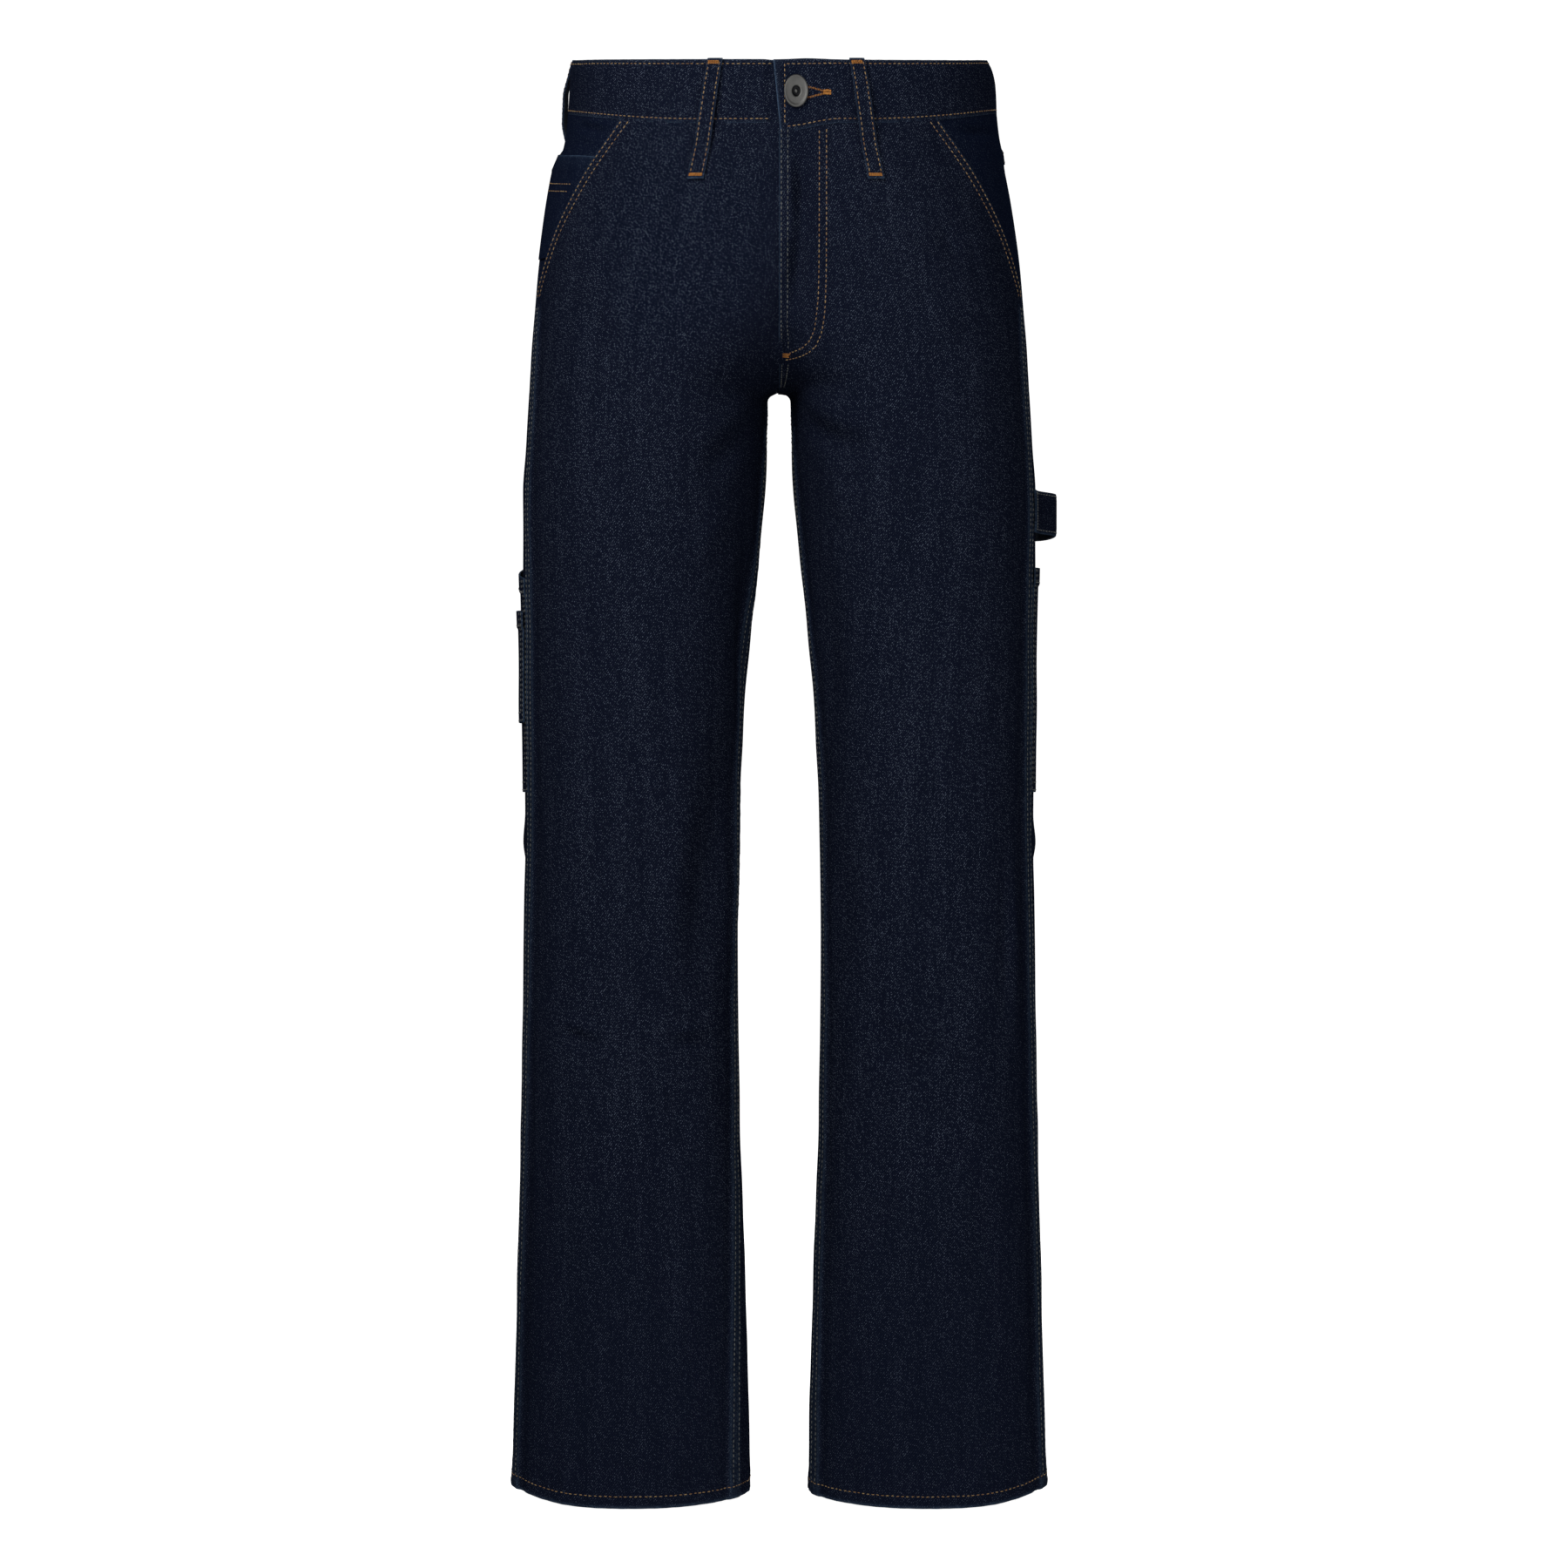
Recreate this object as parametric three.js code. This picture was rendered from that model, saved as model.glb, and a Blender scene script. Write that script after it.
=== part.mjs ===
import * as THREE from 'three';

// Carpenter jeans, filled out as if worn, with no wearer inside.
// Sizes are in mm. +X is the wearer's left, -Y the front and +Z up.
// The origin is the centre of the waist, level with the top edge at the side seams.

// Cloth and seams
const CLOTH = 1.6;
const BAND_CLOTH = 2.2;
const POCKET_CLOTH = 1.5;
const STRAP_CLOTH = 2.0;
const HEM_CLOTH = 3.0;
const HALF_SEAM = 0.15;
const BAND_SEAM = 0.4;
const ON_CLOTH = 0.6;

// Form of the body
const FORK_RADIUS = 8;
const FORK_HEIGHT = -245;
const SQUARENESS = 2.25;
const WAIST_TILT = 0.17;
const TILT_ENDS = -230;
const HEM_HEIGHT = -1056;
const HEM_TURN = 15;
const HEM_SAG = 5;
const HEM_SAG_BEGINS = -930;
const HEM_DEPTH = 57;

// Waistband
const BAND_SIDE_HEIGHT = 40;
const BAND_FRONT_EXTRA = 7.6;
const BAND_FRONT_END = 60;
const BAND_SIDE_BEGINS = 200;
const BAND_LEVEL = -20;
const TAB_TOP_END = -4;
const TAB_BOTTOM_END = 1.0;
const TAB_DROOP = 7;
const TAB_LENGTH = 45;
const TAB_LIFT = 0.9;
const UNDER_END = 32;
const UNDER_DROP = -1.9;
const UNDER_BEGINS = -12;
const UNDER_LEVEL_FROM = -5;

// Horizontal sections of one leg and its half of the seat. outer and inner are how far
// the section reaches from the centre plane, peak is where it is deepest, and front and
// back are its depths there. Above the fork, inner lies past the centre plane.
const BODY_COLUMNS = ['height', 'outer', 'peak', 'inner', 'front', 'back'];
const BODY_ROWS = [
  [0, 152.8, 0, -152.8, 110, 112],
  [-8, 155.6, 0, -155.6, 111, 113.5],
  [-32, 157.7, 1, -157.7, 112.5, 117],
  [-58, 160.4, 4, -158.6, 113.5, 122],
  [-84, 166.9, 10, -152.7, 114.5, 127],
  [-110, 171.6, 19, -139, 115.5, 131],
  [-148, 177, 37, -107, 116.5, 134],
  [-187, 180.6, 58, -63, 116.5, 133],
  [-212, 182.3, 71, -33, 116, 130.5],
  [-232, 183.5, 80, -10, 115, 127],
  [-241, 184.1, 84, 2.4, 114.4, 125.2],
  [-245, 184.3, 85.5, 8, 114.1, 124.4],
  [-247.5, 184.5, 86.4, 10.3, 113.9, 123.9],
  [-250, 184.7, 87.2, 11.4, 113.7, 123.4],
  [-255, 185, 88.8, 12.1, 113.3, 122.3],
  [-290, 187.1, 96, 12.3, 110, 115],
  [-320, 189, 99.5, 13.2, 107, 109.5],
  [-367, 189.2, 102.5, 16.8, 102.5, 103],
  [-419, 188.5, 105, 22.1, 98, 98],
  [-470, 188.6, 107, 26.3, 94, 94],
  [-547, 187.8, 109, 30.1, 88.5, 88.5],
  [-650, 188.9, 110, 31.6, 81, 83],
  [-780, 190.8, 110.3, 30.1, 71.5, 74.5],
  [-882, 193.2, 110.2, 26.8, 65.5, 67.5],
  [-985, 195.8, 110, 23.9, 60, 61],
  [-1056, 198.4, 110.5, 22.6, 57, 57.5],
];

// Where the seams run. outseam is the way forward from the side of the leg,
// inseam the way forward from the innermost line of the leg.
const SEAM_COLUMNS = ['height', 'outseam', 'inseam'];
const SEAM_ROWS = [
  [0, -3, 0],
  [-40, 3, 0],
  [-110, 16, 0],
  [-181, 31, 0],
  [-215, 37.5, 0],
  [-245, 41, 0],
  [-262, 42, 8],
  [-300, 42, 20],
  [-480, 40, 22],
  [-700, 28, 19],
  [-900, 18, 17],
  [-1056, 15, 16],
];

// Edge of the slanted front pocket, as a distance from the centre plane.
const SLANT_COLUMNS = ['height', 'across'];
const SLANT_ROWS = [
  [-40, 110],
  [-48.8, 116.2],
  [-94, 144.5],
  [-144.5, 167.1],
  [-181, 177],
];
const SLANT_END = -181;
const SLANT_LIFT = 1.0;
const SLANT_BAND = 16;
const FACING_DROP = -0.8;
const FACING_TIP = 0.8;

// Fly, where the left front laps over the right
const FLY_END = -229;
const FLY_FADE = 14;
const FLY_WIDTH = 34;
const FLY_LIFT = 1.0;
const FLY_DROP = -0.5;

// Yoke line, from the side to the centre back
const YOKE_SIDE = -78;
const YOKE_CENTRE = -114;
const YOKE_LEVEL_TO = -20;
const YOKE_DIPS_PAST = -300;
const YOKE_ROWS = 3;

// Rows of points down the panels
const TOP_ROWS = [-48, -63, -78, -94, -111, -128, -144.5, -163, -181];
const FORK_ROWS = [
  -198, -212, -223, -232, -238.5, -242.3, -244.4,
  -245, -245.8, -247.5, -250, -255, -266,
];
const LEG_ROWS = [
  -290, -320, -367, -419, -470, -547, -620, -700, -780, -882, -985,
  -1041, -1043, -1056,
];
const SEAT_ROWS = [-96, -118, -140, -162, -181];
const STRETCH_END = -162;
const PANEL_COLUMNS = 12;

// Colours
const DENIM = 0x1a2030;
const DENIM_WORN = 0x232a3a;
const METAL = 0x74757a;

const LEFT = 1;
const RIGHT = -1;
const part = new THREE.Group();
part.name = 'carpenter_jeans';

// Small helpers
const lerp = (a, b, t) => a + (b - a) * t;
const clamp01 = (t) => Math.min(1, Math.max(0, t));
const signedPower = (value, power) => Math.sign(value) * Math.abs(value) ** power;

function ease(from, to, value) {
  const t = clamp01((value - from) / (to - from));
  return t * t * (3 - 2 * t);
}

// A smooth curve through the rows of a table that never swings past them.
function smoothCurve(heights, values) {
  const last = heights.length - 1;
  const rise = [];
  for (let i = 0; i < last; i += 1) {
    rise.push((values[i + 1] - values[i]) / (heights[i + 1] - heights[i]));
  }
  const slopes = heights.map((height, i) => {
    if (i === 0) return rise[0];
    if (i === last) return rise[last - 1];
    if (rise[i - 1] * rise[i] <= 0) return 0;
    return (2 * rise[i - 1] * rise[i]) / (rise[i - 1] + rise[i]);
  });
  return (height) => {
    const bounded = Math.min(heights[0], Math.max(heights[last], height));
    let i = 0;
    while (i < last - 1 && bounded < heights[i + 1]) i += 1;
    const span = heights[i + 1] - heights[i];
    const t = (bounded - heights[i]) / span;
    const t2 = t * t;
    const t3 = t2 * t;
    return (2 * t3 - 3 * t2 + 1) * values[i]
      + (t3 - 2 * t2 + t) * span * slopes[i]
      + (3 * t2 - 2 * t3) * values[i + 1]
      + (t3 - t2) * span * slopes[i + 1];
  };
}

function curvesOf(columns, rows) {
  const heights = rows.map((row) => row[0]);
  const curves = {};
  columns.forEach((name, column) => {
    curves[name] = smoothCurve(heights, rows.map((row) => row[column]));
  });
  return curves;
}

const body = curvesOf(BODY_COLUMNS, BODY_ROWS);
const seams = curvesOf(SEAM_COLUMNS, SEAM_ROWS);
const slant = curvesOf(SLANT_COLUMNS, SLANT_ROWS);

// Half a section, from the side of the leg to its inner line or the centre plane.
const ARC_STEPS = 240;
const arcs = new Map();

function arcOf(height, facing) {
  const key = `${facing}:${height.toFixed(4)}`;
  if (arcs.has(key)) return arcs.get(key);
  const peak = body.peak(height);
  const outward = body.outer(height) - peak;
  const inward = peak - body.inner(height);
  const depth = facing < 0 ? body.front(height) : body.back(height);
  const cut = (FORK_RADIUS - peak) / (peak < FORK_RADIUS ? outward : inward);
  const end = Math.acos(signedPower(Math.max(-1, cut), SQUARENESS / 2));
  const x = [];
  const y = [];
  const along = [0];
  for (let i = 0; i <= ARC_STEPS; i += 1) {
    const angle = (end * i) / ARC_STEPS;
    const breadth = angle < Math.PI / 2 ? outward : inward;
    const reach = peak + breadth * signedPower(Math.cos(angle), 2 / SQUARENESS);
    x.push(Math.sqrt(Math.max(0, reach * reach - FORK_RADIUS * FORK_RADIUS)));
    y.push(facing * depth * signedPower(Math.sin(angle), 2 / SQUARENESS));
    if (i > 0) along.push(along[i - 1] + Math.hypot(x[i] - x[i - 1], y[i] - y[i - 1]));
  }
  const arc = { x, y, along, total: along[ARC_STEPS] };
  arcs.set(key, arc);
  return arc;
}

const frontArc = (height) => arcOf(height, -1).total;
const backArc = (height) => arcOf(height, 1).total;

function alongArc(arc, distance) {
  let low = 0;
  let high = ARC_STEPS;
  while (high - low > 1) {
    const middle = (low + high) >> 1;
    if (arc.along[middle] <= distance) low = middle;
    else high = middle;
  }
  const t = (distance - arc.along[low]) / (arc.along[high] - arc.along[low]);
  return [lerp(arc.x[low], arc.x[high], t), lerp(arc.y[low], arc.y[high], t)];
}

// A point of the left half. way is the distance forward from the side of the leg,
// negative towards the back. Past either end it goes on over the centre plane,
// or round the inner line of the leg below the fork.
function bodyPoint(way, height) {
  const front = frontArc(height);
  const back = backArc(height);
  const split = height > FORK_HEIGHT;
  let distance = way;
  let mirror = 1;
  if (way > front) {
    distance = split ? 2 * front - way : way - front - back;
    mirror = split ? -1 : 1;
  } else if (way < -back) {
    distance = split ? -2 * back - way : way + front + back;
    mirror = split ? -1 : 1;
  }
  const [x, y] = alongArc(arcOf(height, distance >= 0 ? -1 : 1), Math.abs(distance));
  const tilt = WAIST_TILT * y * ease(TILT_ENDS, 0, height);
  const sag = HEM_SAG * (y / HEM_DEPTH) ** 2 * ease(HEM_SAG_BEGINS, HEM_HEIGHT, height);
  return new THREE.Vector3(mirror * x, y, height + tilt - sag);
}

const PROBE = 0.4;

function bodyNormal(way, height) {
  const above = bodyPoint(way, height + PROBE);
  const below = bodyPoint(way, height - PROBE);
  const before = bodyPoint(way + PROBE, height);
  const behind = bodyPoint(way - PROBE, height);
  return above.sub(below).cross(before.sub(behind)).normalize();
}

// A point of the cloth on either side, moved out by lift.
function clothPoint(side, way, height, lift) {
  const point = bodyPoint(way, height);
  point.addScaledVector(bodyNormal(way, height), lift);
  point.x *= side;
  return point;
}

// Keeps a panel on its own side of the centre plane.
function keepSide(point, side) {
  if (side * point.x < HALF_SEAM) point.x = side * HALF_SEAM;
  return point;
}

// Distance along the section at which it lies across from the centre plane.
function wayAcross(across, height) {
  const arc = arcOf(height, -1);
  let i = 1;
  while (i < ARC_STEPS && arc.x[i] > across) i += 1;
  const t = (arc.x[i - 1] - across) / (arc.x[i - 1] - arc.x[i]);
  return lerp(arc.along[i - 1], arc.along[i], t);
}

// A closed wall of cloth: an outer and an inner grid joined round their edges.
function clothWall(name, colour, columns, rows, at) {
  const positions = [];
  const faces = [];
  const stride = columns + 1;
  const layer = stride * (rows + 1);
  const quad = (a, b, c, d) => faces.push([a, b, c], [a, c, d]);
  for (const inside of [false, true]) {
    for (let j = 0; j <= rows; j += 1) {
      for (let i = 0; i <= columns; i += 1) {
        const point = at(i / columns, j / rows, inside, j);
        positions.push(point.x, point.y, point.z);
      }
    }
  }
  for (let j = 0; j < rows; j += 1) {
    for (let i = 0; i < columns; i += 1) {
      const a = j * stride + i;
      quad(a, a + stride, a + stride + 1, a + 1);
      const b = a + layer;
      quad(b, b + 1, b + stride + 1, b + stride);
    }
  }
  for (let i = 0; i < columns; i += 1) {
    const last = rows * stride + i;
    quad(i, i + 1, layer + i + 1, layer + i);
    quad(last + 1, last, layer + last, layer + last + 1);
  }
  for (let j = 0; j < rows; j += 1) {
    const first = j * stride;
    const last = first + columns;
    quad(first + stride, first, layer + first, layer + first + stride);
    quad(last, last + stride, layer + last + stride, layer + last);
  }
  addSolid(name, colour, positions, faces);
}

function addSolid(name, colour, positions, faces) {
  const corner = (i) => new THREE.Vector3().fromArray(positions, 3 * i);
  let volume = 0;
  for (const [a, b, c] of faces) {
    volume += corner(a).dot(corner(b).cross(corner(c)));
  }
  const outward = volume > 0 ? faces : faces.map(([a, b, c]) => [a, c, b]);
  const geometry = new THREE.BufferGeometry();
  geometry.setAttribute('position', new THREE.Float32BufferAttribute(positions, 3));
  geometry.setIndex(outward.flat());
  geometry.computeVertexNormals();
  const material = new THREE.MeshStandardMaterial({ color: colour, roughness: 0.9 });
  const mesh = new THREE.Mesh(geometry, material);
  mesh.name = name;
  part.add(mesh);
}

// Waist positions are distances from the centre front at the middle of the band,
// positive round the wearer's left.
const halfWaist = (height) => frontArc(height) + backArc(height);
const WAIST_HALF = halfWaist(BAND_LEVEL);
const waistScale = (height) => halfWaist(height) / WAIST_HALF;

function bandPoint(place, height, lift) {
  const side = place < 0 ? RIGHT : LEFT;
  const way = frontArc(height) - Math.abs(place) * waistScale(height);
  return clothPoint(side, way, height, lift);
}

function bandBottom(place) {
  const sideways = ease(BAND_FRONT_END, BAND_SIDE_BEGINS, Math.abs(place));
  return -BAND_SIDE_HEIGHT - BAND_FRONT_EXTRA * (1 - sideways);
}

const tabBottom = (place) => bandBottom(place) - TAB_DROOP * (1 - ease(0, TAB_LENGTH, place));

// Height of the seam under the waistband, for a place on the left or right half.
function bandSeam(side, way) {
  const level = -BAND_SIDE_HEIGHT;
  const place = (frontArc(level) - way) / waistScale(level);
  return (side === LEFT ? tabBottom(place) : bandBottom(place)) - BAND_SEAM;
}

// Panels
function wallAt(height) {
  return height < HEM_HEIGHT + HEM_TURN - 1 ? HEM_CLOTH : CLOTH;
}

function frontEdge(height) {
  const outseam = seams.outseam(height);
  if (height < SLANT_END) return outseam;
  return Math.max(outseam + FACING_TIP, wayAcross(slant.across(height), height));
}

const frontInner = (height) => (
  height > FORK_HEIGHT ? frontArc(height) : frontArc(height) - seams.inseam(height) - HALF_SEAM
);
const backInner = (height) => (
  height > FORK_HEIGHT ? -backArc(height) : -backArc(height) - seams.inseam(height) + HALF_SEAM
);

// Columns of points run smoothly past the fork, and only those near the inner edge
// follow it where it dips under the seat.
const GUIDE_ABOVE = -150;
const GUIDE_BELOW = -300;
const GUIDE_POWER = 5;

function panelWay(start, inner, height, t) {
  const within = height < GUIDE_ABOVE && height > GUIDE_BELOW;
  const past = ease(GUIDE_ABOVE, GUIDE_BELOW, height);
  const guide = within ? lerp(inner(GUIDE_ABOVE), inner(GUIDE_BELOW), past) : inner(height);
  return lerp(start, guide, t) + (inner(height) - guide) * t ** GUIDE_POWER;
}

// Rows near the top of a panel are stretched to end on its slanted or curved top edge.
function rowHeight(rows, j, top, stretchEnd) {
  if (rows[j] <= stretchEnd) return rows[j];
  return top + ((rows[j] - rows[0]) * (stretchEnd - top)) / (stretchEnd - rows[0]);
}

// The left front stands proud at the fly, and both fronts at the slanted pocket.
function frontLift(side, way, height) {
  const fly = ease(FLY_END - FLY_FADE, FLY_END + FLY_FADE, height);
  const toFly = frontArc(height) - way;
  const rise = side === LEFT ? FLY_LIFT : FLY_DROP;
  const lap = rise * fly * (1 - ease(0, FLY_WIDTH, toFly));
  const mouth = ease(SLANT_END, SLANT_END + FLY_FADE, height);
  return lap + SLANT_LIFT * mouth * (1 - ease(0, SLANT_BAND, way - frontEdge(height)));
}

function frontPanel(name, side) {
  const rows = [...TOP_ROWS, ...FORK_ROWS, ...LEG_ROWS];
  const start = frontEdge(rows[0]);
  const end = frontInner(rows[0]);
  clothWall(name, DENIM, PANEL_COLUMNS, rows.length - 1, (t, v, inside, j) => {
    const top = bandSeam(side, lerp(start, end, t));
    const height = rowHeight(rows, j, top, STRETCH_END);
    const way = panelWay(frontEdge(height) + HALF_SEAM, frontInner, height, t);
    const lift = frontLift(side, way, height) - (inside ? wallAt(height) : 0);
    return keepSide(clothPoint(side, way, height, lift), side);
  });
}

function yokeLine(way) {
  return lerp(YOKE_SIDE, YOKE_CENTRE, ease(YOKE_LEVEL_TO, YOKE_DIPS_PAST, way));
}

function backPanel(name, side) {
  const rows = [...SEAT_ROWS, ...FORK_ROWS, ...LEG_ROWS];
  const start = seams.outseam(rows[0]);
  const end = -backArc(rows[0]);
  clothWall(name, DENIM, PANEL_COLUMNS, rows.length - 1, (t, v, inside, j) => {
    const top = yokeLine(lerp(start, end, t)) - HALF_SEAM;
    const height = rowHeight(rows, j, top, STRETCH_END);
    const way = panelWay(seams.outseam(height) - HALF_SEAM, backInner, height, t);
    const lift = inside ? -wallAt(height) : 0;
    return keepSide(clothPoint(side, way, height, lift), side);
  });
}

function yoke(name, side) {
  const start = seams.outseam(SEAT_ROWS[0]);
  const end = -backArc(SEAT_ROWS[0]);
  clothWall(name, DENIM, PANEL_COLUMNS, YOKE_ROWS, (t, v, inside) => {
    const place = lerp(start, end, t);
    const height = lerp(bandSeam(side, place), yokeLine(place) + HALF_SEAM, v);
    const way = lerp(seams.outseam(height) - HALF_SEAM, -backArc(height), t);
    return keepSide(clothPoint(side, way, height, inside ? -CLOTH : 0), side);
  });
}

// The hip facing fills the slanted pocket's mouth, a little below the front.
const FACING_COLUMNS = 7;

function facingLift(t) {
  return FACING_DROP * ease(0, 1, t);
}

function hipFacing(name, side) {
  const edge = frontEdge(TOP_ROWS[0]);
  const start = seams.outseam(TOP_ROWS[0]);
  clothWall(name, DENIM, FACING_COLUMNS, TOP_ROWS.length - 1, (t, v, inside, j) => {
    const top = bandSeam(side, lerp(start, edge, t));
    const height = rowHeight(TOP_ROWS, j, top, STRETCH_END);
    const from = seams.outseam(height) + HALF_SEAM;
    const way = lerp(from, frontEdge(height) - HALF_SEAM, t);
    const lift = facingLift(t) - (inside ? CLOTH : 0);
    return clothPoint(side, way, height, lift);
  });
}

// The rule pocket lies on the right facing and goes in under the slanted edge.
const RULE_TOP = -70;
const RULE_RISE = 3;
const RULE_BOTTOM = -150;
const RULE_SIDE = 3;
const RULE_EDGE = 0.8;
const RULE_LIFT = 0.4;
const RULE_GRID = { columns: 7, rows: 6 };

function rulePocket(name) {
  clothWall(name, DENIM, RULE_GRID.columns, RULE_GRID.rows, (t, v, inside) => {
    const height = lerp(RULE_TOP - RULE_RISE * t, RULE_BOTTOM, v);
    const from = seams.outseam(height) + RULE_SIDE;
    const to = frontEdge(height) - RULE_EDGE;
    const way = lerp(from, to, t);
    const share = (way - seams.outseam(height)) / (frontEdge(height) - seams.outseam(height));
    const lift = facingLift(share) + RULE_LIFT + (inside ? 0 : POCKET_CLOTH);
    return clothPoint(RIGHT, way, height, lift);
  });
}

// Waistband, one strip from the tab on the left front round to the end under the tab.
const BAND_STEP = 14;
const BAND_ROWS = 3;
const TAB_PLACES = [0, 8, 16, 26, 36, TAB_LENGTH, 60];
const UNDER_PLACES = [-40, -24, UNDER_BEGINS, UNDER_LEVEL_FROM, 4, 14, 24, UNDER_END];

function bandPlaces() {
  const near = TAB_PLACES.at(-1);
  const far = 2 * WAIST_HALF - near;
  const count = Math.round((far - near) / BAND_STEP);
  const places = [...TAB_PLACES];
  for (let i = 1; i <= count; i += 1) {
    places.push(lerp(near, far, i / count));
  }
  return places.concat(UNDER_PLACES.map((place) => 2 * WAIST_HALF + place));
}

// How far the band stands out where its tab lies over its other end.
function tabRise(place) {
  return place < 0 ? 0 : TAB_LIFT * (1 - ease(TAB_LENGTH / 2, 2 * TAB_LENGTH, place));
}

function waistband(name) {
  const places = bandPlaces();
  const columns = places.length - 1;
  clothWall(name, DENIM_WORN, columns, BAND_ROWS, (t, v, inside) => {
    const index = Math.round(t * columns);
    const run = places[index];
    const tabSide = run < WAIST_HALF;
    const end = index === 0 ? lerp(TAB_TOP_END, TAB_BOTTOM_END, v) : run;
    const place = tabSide ? end : run - 2 * WAIST_HALF;
    const bottom = tabSide ? tabBottom(place) : bandBottom(place);
    const lap = tabSide
      ? tabRise(Math.max(0, place))
      : UNDER_DROP * ease(UNDER_BEGINS, UNDER_LEVEL_FROM, place);
    return bandPoint(place, bottom * v, lap - (inside ? BAND_CLOTH : 0));
  });
}

// Belt loops: straps that stand off the band between their sewn ends.
const LOOP_WIDTH = 11.5;
const LOOP_TOP = -1;
const LOOP_BOTTOM = -92;
const LOOP_REST = 0.4;
const LOOP_GRID = { columns: 2, rows: 10 };
const RISE_FROM = [0.03, 0.2];
const FALL_TO = [0.74, 0.95];
const LOOP_FALL = [0.5, 0.76];
// Each row: name, place of the top end, place of the lower end, rise
const LOOP_ROWS = [
  ['belt_loop_front_left', 56.5, 64, 3],
  ['belt_loop_front_right', -46.5, -55, 3],
  ['belt_loop_side_left', 250, 257, 3.6],
  ['belt_loop_side_right', -238, -254, 3.8],
  ['belt_loop_back', 0, 0, 3],
];

function strapRise(t, fall = FALL_TO) {
  return ease(...RISE_FROM, t) * (1 - ease(...fall, t));
}

function beltLoop(name, topPlace, bottomPlace, standOff) {
  const base = name === 'belt_loop_back' ? WAIST_HALF : 0;
  clothWall(name, DENIM_WORN, LOOP_GRID.columns, LOOP_GRID.rows, (t, v, inside) => {
    const height = lerp(LOOP_TOP, LOOP_BOTTOM, v);
    const across = (t - 0.5) * LOOP_WIDTH;
    const rest = LOOP_REST + (base > 0 ? 0 : tabRise(topPlace) * (1 - v));
    const lift = rest + standOff * strapRise(v, LOOP_FALL) + (inside ? 0 : STRAP_CLOTH);
    if (base > 0) {
      const side = across < 0 ? RIGHT : LEFT;
      return clothPoint(side, Math.abs(across) - backArc(height), height, lift);
    }
    return bandPoint(lerp(topPlace, bottomPlace, v) + across, height, lift);
  });
}

// Back pockets, five-sided patches
const BACK_POCKET = { top: -142, topWidth: 146, foot: -286, footWidth: 122, point: 17 };
const BACK_POCKET_INNER = 30;
const BACK_POCKET_RAKE = 10;
const BACK_POCKET_REST = 0.9;
const BACK_POCKET_LEAN = 6;
const BACK_POCKET_GRID = { columns: 12, rows: 9 };

function backPocket(name, side) {
  const { top, topWidth, foot, footWidth, point } = BACK_POCKET;
  const { columns, rows } = BACK_POCKET_GRID;
  clothWall(name, DENIM, columns, rows, (t, v, inside) => {
    const middle = 1 - Math.abs(2 * t - 1);
    const height = lerp(top, foot, v) - point * v * middle - BACK_POCKET_RAKE * (1 - t) * (1 - v);
    const width = lerp(topWidth, footWidth, v);
    const inner = BACK_POCKET_INNER + (topWidth - width) / 2;
    const way = -backArc(top) + inner + width * (1 - t) + BACK_POCKET_LEAN * v;
    const lift = BACK_POCKET_REST + (inside ? 0 : POCKET_CLOTH);
    return clothPoint(side, way, height, lift);
  });
}

// Tool pockets on the sides of the legs, with their front edges near the outseam.
// Each row: name, side, plies below it, front and rear edge, top at each of them, foot
const POCKET_ROWS = [
  ['tool_pocket_left', LEFT, 0, 39, -98, -377, -372, -541],
  ['tool_pocket_right', RIGHT, 0, 41, -92, -385, -364, -541],
  ['tool_pocket_right_small', RIGHT, 1, 39, -34, -409, -405, -490],
];
const MOUTH_HEM = 13;
const MOUTH_CLOTH = 2.4;
const MOUTH_STEP = 1.5;
const POCKET_GRID = { columns: 9, rows: 7 };

function toolPocket(name, side, ply, fore, aft, foreTop, aftTop, foot) {
  const rest = ON_CLOTH + ply * (POCKET_CLOTH + ON_CLOTH);
  const { columns, rows } = POCKET_GRID;
  clothWall(name, DENIM, columns, rows, (t, v, inside, j) => {
    const top = lerp(foreTop, aftTop, t);
    const hem = top - MOUTH_HEM;
    const under = hem - MOUTH_STEP;
    const height = j < 2 ? lerp(top, hem, j) : lerp(under, foot, (j - 2) / (rows - 2));
    const way = lerp(fore, aft, t);
    const wall = j < 2 ? MOUTH_CLOTH : POCKET_CLOTH;
    return clothPoint(side, way, height, rest + (inside ? 0 : wall));
  });
}

// Hammer loop, a wide strap across the left side that stands off the leg.
const HAMMER = { fore: 39, aft: -84, top: -320, bottom: -351, rise: 12.8, cloth: 2.4 };
const HAMMER_RISE_FROM = [0.05, 0.3];
const HAMMER_FALL_TO = [0.7, 0.95];
const HAMMER_GRID = { columns: 16, rows: 3 };

function hammerLoop(name) {
  const { columns, rows } = HAMMER_GRID;
  clothWall(name, DENIM, columns, rows, (t, v, inside) => {
    const rise = HAMMER.rise * ease(...HAMMER_RISE_FROM, t) * (1 - ease(...HAMMER_FALL_TO, t));
    const height = lerp(HAMMER.top, HAMMER.bottom, v);
    const lift = ON_CLOTH + rise + (inside ? 0 : HAMMER.cloth);
    return clothPoint(LEFT, lerp(HAMMER.fore, HAMMER.aft, t), height, lift);
  });
}

// Button: a flat oval cap with a well in its middle, on a short shank.
const BUTTON_PLACE = 12;
const BUTTON_HEIGHT = -24;
const BUTTON_BREADTH = 17.4;
const BUTTON_LENGTH = 23.8;
const BUTTON_LIFT = TAB_LIFT + 0.3;
const BUTTON_SEGMENTS = 20;
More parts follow.
